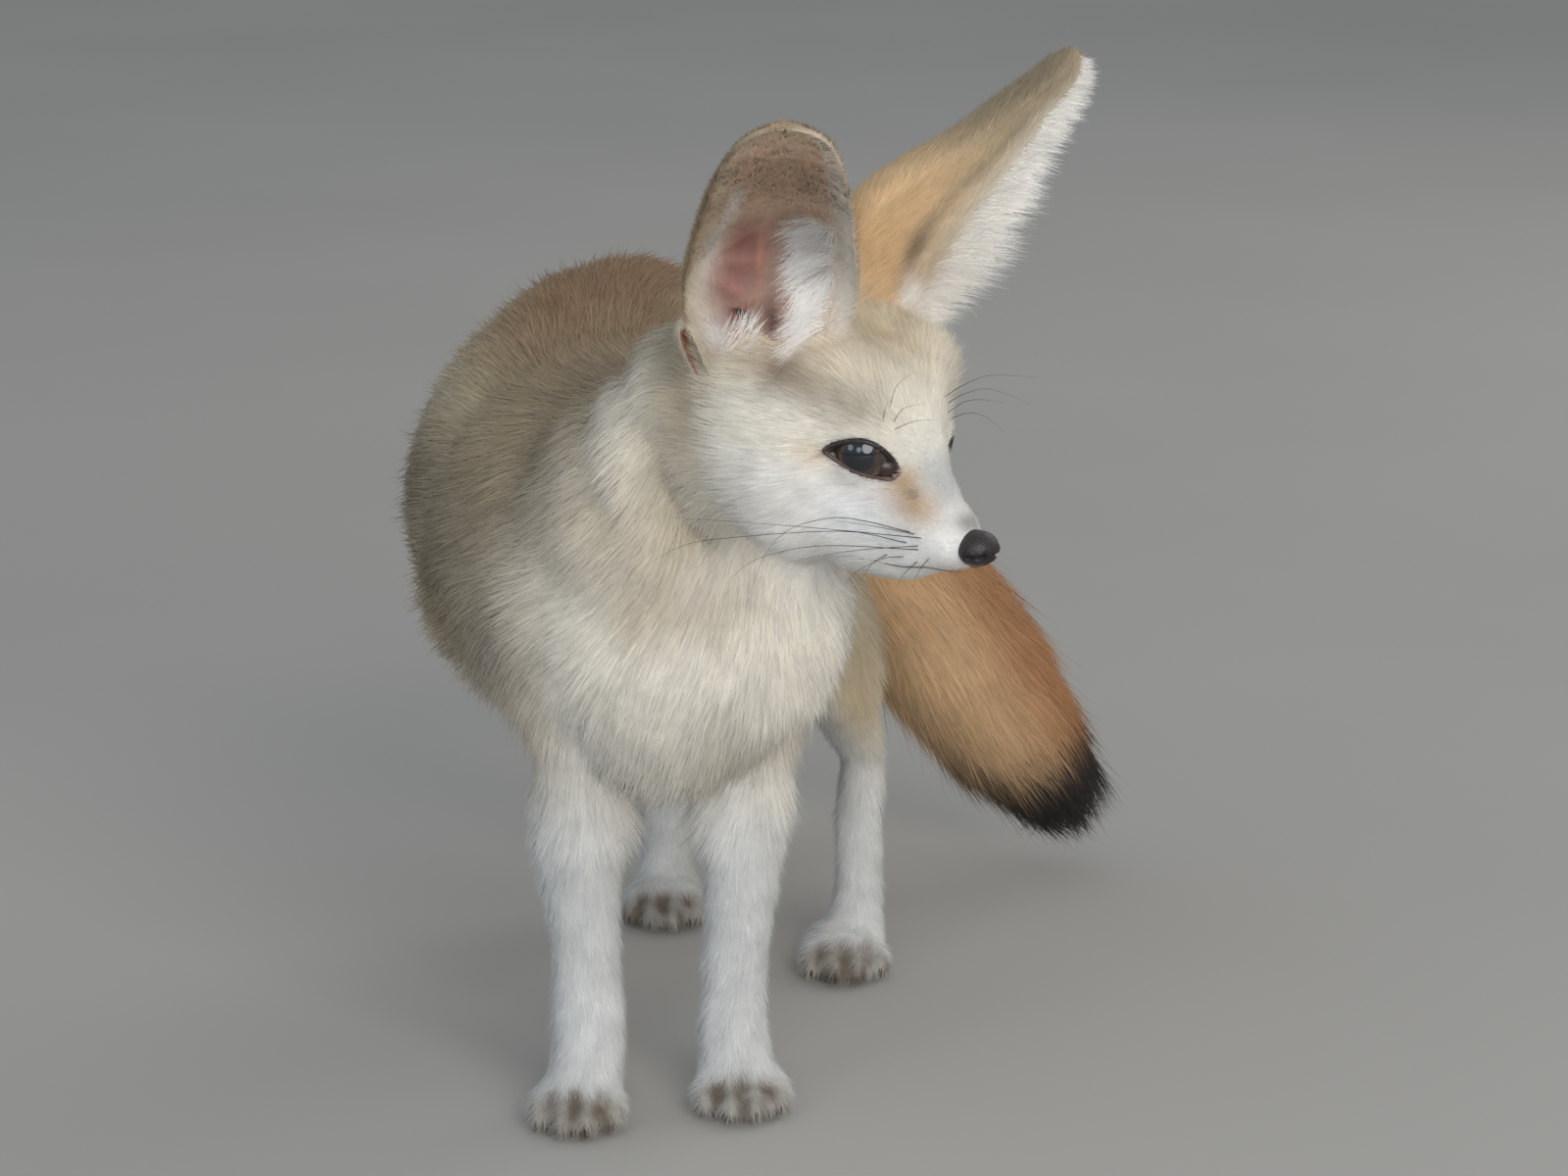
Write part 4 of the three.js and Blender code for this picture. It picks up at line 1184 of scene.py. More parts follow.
def leg_colour(points, name):
    """White legs, sandy on the outside of the thigh, with brown hair between the toes and round the claws."""
    leg = LEGS[name]
    hind = name.startswith("hind")
    side = 1 if name.endswith("left") else -1
    _, t, _ = nearest_station(legs[name], points, 50)
    out = points - legs[name].frame(t)[0]
    outside = smooth(out[:, 0] * side, -6, 7) + smooth(out[:, 1], 4, 14)
    high = smooth(points[:, 2], *((44, 92) if hind else (84, 120)))
    colour = plain(LEG_WHITE, points)
    thigh = blend(plain(YELLOW_SAND, points), SAND, smooth(points[:, 2], 90, 120))
    colour = blend(colour, thigh, np.clip(outside, 0, 1) * high * (0.85 if hind else 0.5))
    local = (points - np.array([*leg["paw"], 0])) @ paw_matrix(leg)
    between_toes = sum(bell(local[:, 0] - k * PAW["toe_spacing"], 2.3) for k in (-1, 0, 1))
    low = smooth(points[:, 2], 17, 9)
    ahead = smooth(local[:, 1], -4, -11)
    speckle = 0.6 + 0.8 * noise(points, 3.4, 21)
    share = np.clip(between_toes * 1.7 + 0.8 * smooth(points[:, 2], 8, 3), 0, 1.4) * ahead * low * speckle
    colour = blend(colour, BROWN, np.clip(share, 0, 1) * 0.9)
    return blend(colour, GREY_SAND, ahead * low * 0.5)


def neck_colour(points):
    """Cream on the throat, sandier towards the back and the nape, and greyer on the right, where that grey is
    painted shade on the side away from the light.
    """
    x, y, z = points.T
    colour = blend(plain(CREAM, points), YELLOW_SAND, smooth(y, -6, 30) * 0.7)
    colour = blend(colour, GREY_SAND, smooth(y, -4, 26) * smooth(z, 150, 190) * 0.8)
    # Painted shade: greyer on the fox's right, the side turned away from the key light.
    return blend(colour, GREY_SAND, smooth(x, -6, -36) * 0.4)


def chest_colour(points):
    """Cream with yellower patches for both the coat's tone and the painted highlight on its locks, with
    painted shade low on the chest between the forelegs.
    """
    colour = blend(plain(CREAM, points), YELLOW_SAND, np.clip(noise(points, 17, 7), 0, 1) * 0.5)
    # Painted shade: the colour darkens towards the bottom of the chest.
    return colour * (1 - 0.38 * smooth(points[:, 2], 155, 108))[:, None]


def skin_colour(points, regions):
    patches = noise(points, 16, 3)[:, None]
    colour = regions["head"][:, None] * head_colour(to_head(points))
    colour += regions["neck"][:, None] * neck_colour(points)
    colour += regions["chest"][:, None] * chest_colour(points)
    colour += regions["trunk"][:, None] * trunk_colour(points)
    colour += regions["tail"][:, None] * tail_colour(points)
    for name in LEGS:
        colour += regions[name][:, None] * leg_colour(points, name)
    fold_tint_and_shade = fold_depth(points)[:, None] / FULL_FOLD
    colour = blend(colour, YELLOW_SAND, np.clip(fold_tint_and_shade[:, 0], 0, 1) * 0.35 * smooth(points[:, 2], 160, 180))
    streaks = noise(points, 3.2, 51)[:, None] * (0.09 - 0.02 * regions["head"][:, None])
    # Painted shade darkens the skin and coat in the folds.
    return np.clip(colour * (1 + 0.05 * patches + streaks) * (1 - 0.14 * fold_tint_and_shade), 0, 1)


def along_skin(headings, normals):
    return unit(headings - normals * dots(headings, normals)[:, None])


def skin_heading(points, normals, regions, headings):
    heading = sum(regions[name][:, None] * headings[name] for name in headings)
    down = np.array([0, 0, -1.0])
    heading = heading + (regions["trunk"] * 0.55 + regions["neck"] * 0.5)[:, None] * down
    heading = heading + regions["chest"][:, None] * down * 0.4
    sideways = (regions["chest"] * 0.3 + regions["neck"] * 0.5) * smooth(points[:, 0], 30, -10)
    heading = heading - sideways[:, None] * np.array([1.0, 0, 0])
    on_the_head = head_lie(to_head(points)) @ HEAD_AXES.T
    heading = blend(heading, on_the_head, regions["head"])
    swirl = np.stack([noise(points, 24, k) for k in (11, 12, 13)], axis=1)
    heading = heading + swirl * (0.3 - 0.22 * regions["head"])[:, None]
    return along_skin(heading, normals)


def head_ticking(head):
    """The share of dark-tipped hair on the head: round the foot of each ear and over the eyes."""
    mirrored = np.stack([head[:, 0], np.abs(head[:, 1]), head[:, 2]], axis=1)
    at = lambda place, reach: bell(np.linalg.norm(mirrored - place, axis=1), reach)
    return 0.1 + 0.5 * at((-14, 28, 17), 13) + 0.25 * at((2, 20, 12), 9) - 0.1 * smooth(head[:, 2], 0, -8)


# The brow's longer, steeper hair: its middle and reaches, then how much it adds
BROW = dict(middle=(2, 20, 17), reach=(12, 9, 9), length=3.6, rise=18)
# The same for the shaggy hair between the forelegs, over the heights where it grows in
SHAGGY = dict(heights=(128, 104), length=8, rise=12)
TICKING = dict(trunk=0.24, tail=0.08, neck=0.06)


def brow_share(head):
    distance = np.linalg.norm((np.abs(head) - BROW["middle"]) / BROW["reach"], axis=1)
    return bell(distance, 1) * smooth(head[:, 2], 4, 10)


def clear_eyes(hide):
    """Leaves the opening of each eye without hair and darkens its edge."""
    for side in (1, -1):
        local = (hide.points - eye_centre(side)) @ eye_axes(side)
        opening = inside_outline(local[:, :2], eye_outline(36)) + 0.7
        near = near_eye(local)
        hide.values["density"] = np.where(near & (opening > 0), 0, hide.values["density"])
        hide.values["colour"] = blend(hide.values["colour"], LID_DARK, smooth(opening, 0.0, 0.8) * near)


def dress_skin(hide):
    """Works out the coat at each point of the skin."""
    regions, headings = skin_regions(hide.points)
    density, length, width, rise = mix_coats(coat_shares(hide.points, regions)).T
    head = to_head(hide.points)
    brow = brow_share(head) * regions["head"]
    shaggy = regions["chest"] * smooth(hide.points[:, 2], *SHAGGY["heights"])
    ticking = sum(share * regions[name] for name, share in TICKING.items())
    hide.values = dict(
        density=density,
        length=length + BROW["length"] * brow + SHAGGY["length"] * shaggy,
        width=width,
        rise=rise + BROW["rise"] * brow + SHAGGY["rise"] * shaggy,
        heading=skin_heading(hide.points, hide.normals, regions, headings),
        colour=skin_colour(hide.points, regions),
        ticking=ticking + head_ticking(head) * regions["head"],
        **{f"at_{name}": share for name, share in regions.items()},
    )
    clear_eyes(hide)
    nose = (head[:, 0] > 32.5) & (head[:, 2] > -21.5)
    hide.values["density"] = np.where(nose, 0, hide.values["density"])


# Tufts
def sample_roots(hide, triangles, density, rng):
    """Roots spread over the skin by the density of its coat, as triangles and shares of their corners."""
    corners = hide.points[hide.triangles[triangles]]
    area = np.linalg.norm(np.cross(corners[:, 1] - corners[:, 0], corners[:, 2] - corners[:, 0]), axis=1) / 2
    weight = area * density[hide.triangles[triangles]].mean(axis=1)
    total = weight.cumsum()
    count = int(total[-1])
    picks = np.searchsorted(total, (np.arange(count) + rng.random(count)) / count * total[-1])
    picks = np.minimum(picks, len(triangles) - 1)
    a, b = rng.random((2, count))
    over = a + b > 1
    a, b = np.where(over, 1 - a, a), np.where(over, 1 - b, b)
    return triangles[picks], np.stack([1 - a - b, a, b], axis=1)


def at_roots(hide, value, triangles, shares):
    corner_values = value[hide.triangles[triangles]]
    if corner_values.ndim == 2:
        return dots(corner_values, shares)
    return np.einsum("ijk,ij->ik", corner_values, shares)


# A long tuft is a thin spindle: its root, the two edges and the ridge of its bend, and its tip.
# A short one is a straight spike that stands on three points.
LONG_TUFT = np.array([(2, 1, 4), (3, 2, 4), (1, 3, 4), (1, 2, 0), (2, 3, 0), (3, 1, 0)])
SHORT_TUFT = np.array([(1, 0, 3), (2, 1, 3), (0, 2, 3), (0, 1, 2)])

# Their patches on the bake map are about 0.003 across.
LONG_PATCH = np.array([(0, -15), (-12, -2), (12, -2), (0, 3), (0, 15)]) * 1e-4
SHORT_PATCH = np.array([(-12, -12), (12, -12), (0, -6), (0, 15)]) * 1e-4
BEND_AT = 0.42
FLOOR_GAP = 0.4
STRAY_SHARE = 0.07


def pull_together(roots, tips, mids, every, pull, rng):
    """Draws the tips of neighbouring tufts together into locks."""
    leaders = rng.permutation(len(roots))[: max(len(roots) // every, 1)]
    tree = KDTree(len(leaders))
    for k, leader in enumerate(leaders):
        tree.insert(roots[leader], k)
    tree.balance()
    nearest = leaders[np.array([tree.find(root)[1] for root in roots])]
    pull = pull * (0.5 + rng.random(len(roots)))[:, None]
    near = smooth(np.linalg.norm(roots[nearest] - roots, axis=1), 7, 4)[:, None]
    tips = tips + (tips[nearest] - tips) * pull * near
    mids = mids + (mids[nearest] - mids) * pull * near * 0.35
    return mids, tips


# How many tufts make a lock and how far it draws in their tips, and how deep their roots stand in the skin
TUFTS = {
    "long": dict(short=False, lock=(26, 0.2), sink=0.3),
    "short": dict(short=True, lock=(12, 0.2), sink=0.3),
    "ear": dict(short=True, lock=(8, 0.2), sink=0.15),
    "pocket": dict(short=True, lock=(8, 0.15), sink=0.1),
}
SEEDS = dict(coat=100, ear=300, pocket=310)


def grow_tufts(read, values, root, heading, normal, short, lock, rng):
    """The middle, tip and width of each tuft. A few stray ones stand out."""
    count = len(root)
    stray = rng.random(count) < STRAY_SHARE
    length = read(values["length"]) * np.clip(rng.normal(1, 0.16, count), 0.5, 1.4)
    width = read(values["width"]) * rng.uniform(0.7, 1.3, count) * np.where(stray, 0.7, 1)
    rise = np.radians(np.clip(read(values["rise"]) + rng.normal(0, 4, count) + 14 * stray, 2, 80))
    bend = np.radians(0 if short else 13)
    leaning = lambda angle: heading * np.cos(angle)[:, None] + normal * np.sin(angle)[:, None]
    mid = root + leaning(rise + bend) * (length * BEND_AT)[:, None]
    tip = mid + leaning(rise - bend) * (length * (1 - BEND_AT))[:, None]
    mid, tip = pull_together(root, tip, mid, *lock, rng)
    mid[:, 2] = np.maximum(mid[:, 2], FLOOR_GAP)
    tip[:, 2] = np.maximum(tip[:, 2], FLOOR_GAP)
    return mid, tip, width


def build_tufts(hide, triangles, seed, short, lock, sink):
    """Closed tufts that lie along the coat: their points, colours, normals and places on the bake map."""
    rng = np.random.default_rng(seed)
    values = hide.values
    triangles, shares = sample_roots(hide, triangles, values["density"], rng)
    read = lambda value: at_roots(hide, value, triangles, shares)
    count = len(triangles)
    normal = unit(read(hide.normals))
    root = read(hide.points) - normal * sink
    heading = along_skin(read(values["heading"]) + rng.normal(0, 0.12, (count, 3)), normal)
    mid, tip, width = grow_tufts(read, values, root, heading, normal, short, lock, rng)
    along = unit(tip - root)
    across = unit(np.cross(along, normal) + rng.normal(0, 0.2, (count, 3)))
    ridge = unit(np.cross(across, along))
    half = (width / 2)[:, None]
    middle = root if short else mid
    waist = [middle - across * half, middle + across * half, middle + ridge * half * 0.8]
    points = np.stack(waist + [tip] if short else [root] + waist + [tip], axis=1)
    normals = tuft_normals(points, normal, SHORT_TUFT if short else LONG_TUFT)
    patch = SHORT_PATCH if short else LONG_PATCH
    uv = np.einsum("ijk,ij->ik", hide.map[hide.loops[triangles]], shares)
    return points, tuft_colours(read, values, count, short, rng), normals, uv[:, None] + patch[None]


# How much a tuft takes its shading from the skin it lies on
SKIN_SHADING = dict(short=0.78, long=0.86)


def tuft_normals(points, skin_normal, pattern):
    """The normal of each face of each tuft, leaning to the skin's own where the face looks outwards."""
    a, b, c = (points[:, pattern[:, k]] for k in range(3))
    own = unit(np.cross(b - a, c - a))
    outward = smooth(np.einsum("ijk,ik->ij", own, skin_normal), -0.1, 0.3)
    share = SKIN_SHADING["short" if pattern is SHORT_TUFT else "long"]
    return unit(blend(own, skin_normal[:, None], outward[..., None] * share))


def tuft_colours(read, values, count, short, rng):
    """Each tuft differs a little from the next, and some have dark tips."""
    colour = read(values["colour"]) * np.clip(rng.normal(1, 0.09, count), 0.76, 1.24)[:, None]
    ticked = rng.random(count) < read(values["ticking"])
    tip = np.where(ticked[:, None], colour * 0.58, colour * 1.03)
    corners = [colour * 0.97] * 3 if short else [colour * 0.94, colour, colour, colour]
    return np.clip(np.stack([*corners, tip], axis=1), 0, 1)


MOST_TRIANGLES = 190000


def add_tufts(name, tufts, material):
    """Makes the coat pieces of some tufts, each small enough to bake."""
    points, colour, normals, uv = tufts
    corners = points.shape[1]
    pattern = SHORT_TUFT if corners == len(SHORT_PATCH) else LONG_TUFT
    pieces = math.ceil(len(points) * len(pattern) / MOST_TRIANGLES)
    for part in range(pieces):
        chosen = slice(part, None, pieces)
        count = len(points[chosen])
        faces = (pattern[None] + (np.arange(count) * corners)[:, None, None]).reshape(-1, 3)
        mesh = new_mesh(f"{name}_{part + 1}", points[chosen].reshape(-1, 3), faces)
        paint(mesh, colour[chosen].reshape(-1, 3))
        layer = mesh.uv_layers.new(name="OFBake")
        corner_uv = uv[chosen].reshape(-1, 2)[faces.ravel()]
        layer.uv.foreach_set("vector", np.clip(corner_uv, 0, 1).astype(np.float32).ravel())
        mesh.normals_split_custom_set(np.repeat(normals[chosen].reshape(-1, 3), 3, axis=0).tolist())
        piece = add_piece(f"{name}_{part + 1}", mesh, material)
        piece.visible_shadow = False


# Ears
def ear_width(ear, v):
    return profile(EAR_WIDTH["left" if ear["side"] > 0 else "right"], v)


def ear_point(ear, u, v, inner):
    """A point of the ear, u from the rear edge at -1 to the front edge at 1, v up the ear."""
    root, up, facing, front = ear_axes(ear)
    half = (EAR["half_width"] - EAR["coat"] * 0.5) * ear_width(ear, v)
    wall = EAR["thickness"] * np.minimum(1, 1.6 - 0.8 * v)
    back = np.maximum(profile(EAR_BACK, v), wall) * (1 - np.abs(u) ** 2.3)
    hollow = np.minimum(profile(EAR_HOLLOW, v) * (1 - np.abs(u) ** 2.3), back)
    lift = (wall / 2 - hollow if inner else -wall / 2 - back) - profile(EAR_LEAN, v)
    if inner:
        lift = lift + ear_folds(u, v)
    room = ear["fringe"] * profile(FRINGE_ROOM, v) * smooth(u, 0.1, 1)
    return (
        root
        + up * (ear["length"] * v)[..., None]
        + front * (half * u + ear["lean_front"] + ear["tip_front"] * v - room)[..., None]
        + facing * lift[..., None]
    )


# Folds in the cup: across and up the ear, the slope, half length, half width and height in millimetres
EAR_FOLDS = [
    (-0.45, 0.185, -0.18, 0.24, 0.024, 2.2),
    (-0.42, 0.25, -0.05, 0.26, 0.022, 1.5),
    (-0.40, 0.128, -0.15, 0.16, 0.018, 1.8),
    (-0.45, 0.32, 0.10, 0.22, 0.024, 1.1),
    (-0.15, 0.27, 0.0, 0.06, 0.08, 1.9),
    (0.07, 0.20, 0.0, 0.06, 0.09, 1.4),
    (-0.78, 0.30, 0.0, 0.08, 0.26, 1.0),
]
EAR_OPENING = dict(across=-0.34, up=0.088, slope=-0.28)


def above_opening(u, v):
    """How far up the ear a place is from the slit of its opening."""
    return v - EAR_OPENING["up"] - EAR_OPENING["slope"] * (u - EAR_OPENING["across"])


def ear_folds(u, v):
    """The folds in the cup of the ear, and the ear's opening at their foot."""
    lift = 0.0
    for across, height, slope, length, width, rise in EAR_FOLDS:
        along = u - across
        lift = lift + rise * bell(along, length) * bell(v - height - slope * along, width)
    canal = 6.0 * bell(u - EAR_OPENING["across"], 0.09) * bell(above_opening(u, v), 0.016)
    canal = canal + 2.5 * bell(u + 0.25, 0.3) * bell(v - 0.09, 0.05)
    return lift * smooth(v, 0.02, 0.1) - canal


def build_ear(name):
    """The skin of an ear as closed rings that run over its back and return through its cup."""
    ear = EARS[name]
    rows, columns = 150, 72
    v = -0.14 + 1.135 * np.sin(np.linspace(0, 1, rows) * math.pi / 2) ** 1.1
    u = -np.cos(np.linspace(0, 1, columns) * math.pi)
    grid_v, grid_u = np.meshgrid(v, u, indexing="ij")
    outer = ear_point(ear, grid_u, grid_v, False)
    inner = ear_point(ear, grid_u, grid_v, True)[:, ::-1]
    rings = np.concatenate([outer, inner], axis=1)
    ends = [rings[0].mean(axis=0), rings[-1].mean(axis=0) + ear_axes(ear)[1] * 0.6]
    points, faces = ring_mesh(rings, ends)
    mesh = new_mesh(f"ear_{name}_skin", points, faced_out(points, faces))
    place = np.concatenate([grid_u, grid_u[:, ::-1]], axis=1).ravel()
    height = np.concatenate([grid_v, grid_v], axis=1).ravel()
    cup = np.concatenate([np.zeros_like(grid_u), np.ones_like(grid_u)], axis=1).ravel()
    pad = lambda values, ends: np.concatenate([[ends[0]], values, [ends[1]]])
    relax(mesh, rounds=2, share=0.4)
    return mesh, pad(place, (0, 0)), pad(height, (v[0], v[-1])), pad(cup, (0, 0))


# Patches of an ear's colour: across and up the ear, their reaches, colour and strength
BACK_PATCHES = [
    (0.3, 0.18, 0.8, 0.3, EAR_TAN, 0.95),
    (0.0, 0.85, 1.2, 0.3, GREY_SAND, 0.6),
    (-0.85, 0.35, 0.3, 0.5, GREY_WHITE, 0.55),
    # These two are a painted shadow along the groove of the rolled front edge.
    (0.84, 0.24, 0.05, 0.09, BROWN, 0.75),
    (0.82, 0.55, 0.06, 0.3, GREY_SAND, 0.6),
    (0.97, 0.45, 0.09, 0.5, EAR_RIM, 0.9),
    (0.92, 0.1, 0.08, 0.06, WHITE, 1.0),
    (0.0, -0.06, 1.2, 0.1, CREAM, 0.7),
]
CUP_PATCHES = [
    (0.0, 1.0, 1.2, 0.07, YELLOW_SAND, 0.8),
    (-0.32, 0.3, 0.36, 0.13, EAR_PINK, 1.0),
    (-0.45, 0.2, 0.3, 0.08, EAR_PINK, 1.0),
    (0.2, 0.24, 0.24, 0.13, EAR_MAUVE, 0.85),
    (-0.16, 0.26, 0.06, 0.08, EAR_ORANGE, 0.85),
    (-0.35, 0.13, 0.22, 0.02, EAR_ORANGE, 0.6),
    (-0.45, 0.09, 0.2, 0.035, EAR_RED, 0.9),
    (0.02, 0.09, 0.14, 0.06, DARK_MAUVE, 0.9),
    (-0.58, 0.55, 0.13, 0.12, GREY_WHITE, 0.8),
    (-0.74, 0.38, 0.13, 0.13, GREY_WHITE, 0.9),
    (-0.86, 0.22, 0.13, 0.12, GREY_WHITE, 0.9),
    (-0.78, 0.06, 0.24, 0.07, GREY_WHITE, 0.95),
    (-0.4, -0.05, 0.4, 0.07, GREY_WHITE, 0.95),
    (0.5, -0.07, 0.6, 0.06, MAUVE, 0.6),
    (0.88, 0.35, 0.17, 0.8, CREAM, 0.95),
]


# The mottling of the ears: the size and seed of its noise
EAR_MOTTLE = (2.4, 31)


def paint_patches(colour, u, v, patches):
    for across, height, reach_across, reach_up, patch, strength in patches:
        distance = np.hypot((u - across) / reach_across, (v - height) / reach_up)
        colour = blend(colour, patch, bell(distance, 1) * strength)
    return colour


def between(value, low, high, soft):
    """1 from low to high, easing to 0 over the soft distance."""
    return smooth(value, low - soft, low) * smooth(value, high + soft, high)


def ear_colours(hide, ear, u, v, cup):
    """The colours of the ear's back, of its cup, and of its bare skin all over."""
    mottle = noise(hide.points, *EAR_MOTTLE)
    outside = blend(plain(EAR_TAN, u), SAND, smooth(v, 0.3, 0.75))
    outside = paint_patches(outside, u, v, BACK_PATCHES)
    inside = paint_patches(plain(EAR_BROWN, u), u, v, CUP_PATCHES)
    half = EAR["half_width"] * ear_width(ear, v)
    edge = np.minimum(half * (1 - np.abs(u)), 1.3 * ear["length"] * (1 - v))
    pink_fold_shading = bell(np.hypot((u + 0.3) / 0.5, (v - 0.25) / 0.2), 1)
    # Painted shade in the valleys of the folds and painted highlight on their ridges, over the pink of the
    # cup.
    inside = inside * (1 + pink_fold_shading * (0.2 * np.clip(ear_folds(u, v), -0.5, 2) - 0.14))[:, None]
    inside = inside * (1 + 0.22 * mottle * smooth(v, 0.4, 0.6))[:, None]
    rim = smooth(edge, 7, 3) * smooth(u, 0.9, 0.5) * (0.8 - 0.5 * smooth(v, 0.7, 0.95))
    inside = blend(inside, EAR_RIM, rim)
    inside = blend(inside, EAR_RIM_TAN, smooth(edge, 1.4, 0.3) * smooth(u, 0.7, 0.3) * 0.8)
    outside = blend(outside, EAR_BACK_RIM, smooth(edge, 6, 1) * smooth(u, 0.5, 0.0) * 0.8)
    slit = bell(above_opening(u, v), 0.015)
    # Painted shade darkens the ear's opening.
    canal = np.clip(1.6 * bell(u - EAR_OPENING["across"], 0.1) * slit, 0, 1)
    return outside, inside, blend(outside, blend(inside, CANAL_SHADE, canal), cup)


def ear_zones(u, v, cup):
    """Where each kind of hair grows on an ear, as shares from 0 to 1."""
    tufted = between(u, 0.34, 0.7, 0.1) * between(v, 0.04, 0.42, 0.05) * cup
    band = smooth(-u, 0.55, 0.75) * smooth(v, 0.66, 0.5) * cup
    hollow = bell(np.hypot((u + 0.2) / 0.55, (v - 0.24) / 0.2), 1)
    return SimpleNamespace(
        fringed=blend(smooth(u, 0.96, 0.99), smooth(u, 0.7, 0.9), cup),
        rear=smooth(-u, 0.8, 0.95),
        tufted=tufted,
        crossing=between(u, -0.62, -0.22, 0.08) * between(v, 0.0, 0.07, 0.02) * cup,
        fold=smooth(u, 0.7, 0.8) * cup,
        band=band,
        bare=hollow * (1 - tufted) * (1 - band) * cup,
        foot=smooth(v, 0.03, -0.03) * cup,
        front_edge=between(u, 0.2, 0.62, 0.08) * between(v, 0.42, 0.68, 0.05),
        high=smooth(v, 0.5, 0.65) * cup,
    )


def ear_density(zone, v, cup):
    fuzz = 1.4 + 1.6 * smooth(v, 0.4, 0.62)
    inside = fuzz + 1.8 * zone.tufted + 1.4 * zone.band + 2.4 * zone.fold + 1.8 * zone.foot
    density = blend(2.9, inside * (1 - 0.93 * np.clip(zone.bare * 1.3, 0, 1)), cup)
    return np.where(zone.crossing > 0.3, 1.3, density) * smooth(v, -0.12, -0.04)


def ear_hair_length(ear, zone, v, cup):
    back = 1 - cup
    fringe = ear["fringe"] * profile(FRINGE_LENGTH, v) + 1.8
    length = blend(4.4, 3.0, cup) + 6.5 * zone.tufted + 6.5 * zone.crossing
    length = length + 2.2 * zone.band + 2.4 * zone.foot
    length = blend(length, 3.4 * smooth(v, 1.1, 0.5), zone.rear * back)
    length = length * (1 - 0.5 * smooth(v, 0.85, 1) * back)
    return blend(length, fringe, zone.fringed * smooth(v, -0.1, 0.0))


def ear_heading(hide, ear, zone, cup):
    """The hair's heading on an ear: mostly up it, out over the fringe, and backwards over the cup."""
    _, up, facing, front = ear_axes(ear)
    back = 1 - cup
    share = lambda weight, direction: weight[:, None] * direction[None]
    long_fringe = ear["fringe"] * zone.fringed
    heading = share(1 - 1.6 * zone.tufted, up) - share(0.9 * zone.tufted + 0.5 * zone.band, front)
    forwards = 1.1 * zone.fold * (1 - long_fringe) - 0.2 * back - 0.9 * zone.rear * back
    heading = heading + share(forwards, front)
    heading = heading + share(long_fringe * 0.9, front) + share(long_fringe * 1.0, facing)
    heading = heading - share(0.45 * long_fringe, up) + share(0.4 * zone.crossing, front)
    heading = heading + share(1.3 * zone.tufted * noise(hide.points, 5, 41), front)
    heading = heading + share((0.5 * zone.tufted + 0.25 * long_fringe) * noise(hide.points, 5, 42), up)
    return unit(heading)


def ear_hair_colour(hide, ear, zone, outside, inside, cup):
    mottle = noise(hide.points, *EAR_MOTTLE)
    hair = blend(inside * 1.12, WHITE, np.clip(zone.tufted + zone.crossing, 0, 1) * 0.95)
    hair = blend(hair, EAR_BASE_BROWN, zone.tufted * smooth(mottle, 0.1, 0.5) * 0.5)
    hair = blend(hair, EAR_BASE_BROWN, zone.front_edge * smooth(mottle, 0, 0.4) * 0.35)
    hair = blend(hair, WHITE, zone.front_edge * smooth(-mottle, 0, 0.4) * 0.5)
    hair = blend(hair, EAR_TIP_BROWN, zone.high * smooth(mottle, 0.05, 0.4) * 0.9)
    hair = blend(hair, EAR_RIM, zone.high * smooth(-mottle, 0.05, 0.4) * 0.8)
    hair = blend(outside * (1 + 0.05 * mottle[:, None]), hair, cup)
    return np.clip(blend(hair, FRINGE_WHITE, ear["fringe"] * zone.fringed * 0.9), 0, 1)


def dress_ear(hide, name, u, v, cup):
    """Works out the colour and hair of an ear from the place across and up it."""
    ear = EARS[name]
    zone = ear_zones(u, v, cup)
    outside, inside, skin = ear_colours(hide, ear, u, v, cup)
    rise = blend(19, 20, cup) + 16 * zone.tufted + 20 * zone.crossing
    hide.values.update(
        skin_colour=skin,
        density=ear_density(zone, v, cup),
        length=ear_hair_length(ear, zone, v, cup),
        width=blend(0.3, 0.26, cup) + 0.06 * ear["fringe"] * zone.fringed,
        rise=rise + 8 * zone.rear * (1 - cup) - 6 * zone.fold,
        heading=ear_heading(hide, ear, zone, cup),
        colour=ear_hair_colour(hide, ear, zone, outside, inside, cup),
        ticking=(1 - cup) * 0.1 * smooth(v, 0.2, 0.6),
    )


# The pocket at the foot of each ear's rear edge: its slit, up, in front and on the facing side of the root
POCKET_SLIT = [(11, -20.6, -1.4), (7, -19.8, 0.2), (-1.5, -17, 2.2), (-12, -12.8, 4.2), (-18, -10.6, 4.8)]
POCKET = dict(leaf=4.6, fold=2.4, slit=2.3, deep=2.8, back=4.0)
POCKET_SKIN = srgb(140, 72, 58)
POCKET_COAT = dict(density=4.0, length=2.0, width=0.24, rise=12.0)
POCKET_HAIRY_ROWS = 5


def pocket_ring(ear, width_out, width_in, length, lift):
    """A ring round the slit: how wide on each side, what share of its length, and how high it stands."""
    root, up, facing, front = ear_axes(ear)
    line = smooth_path(POCKET_SLIT, 41)
    axes = np.stack([up, front, facing], axis=1)
    middle = root + line @ axes.T
    out = unit(facing * 0.85 - front * 0.35)
    ahead = unit(np.gradient(middle, axis=0))
    aside = unit(np.cross(out, ahead)) * ear["side"]
    turn = np.arange(48) / 48 * 2 * math.pi
    at = (0.5 - 0.5 * np.cos(turn) * length) * (len(line) - 1)
    low = np.clip(at.astype(int), 0, len(line) - 2)
    share = (at - low)[:, None]
    place = blend(middle[low], middle[low + 1], share)
    swing = np.sin(turn)
    wide = np.where(swing > 0, width_out, width_in) * np.sign(swing) * np.abs(swing) ** 0.8
    return place + aside[low] * wide[:, None] + out * lift


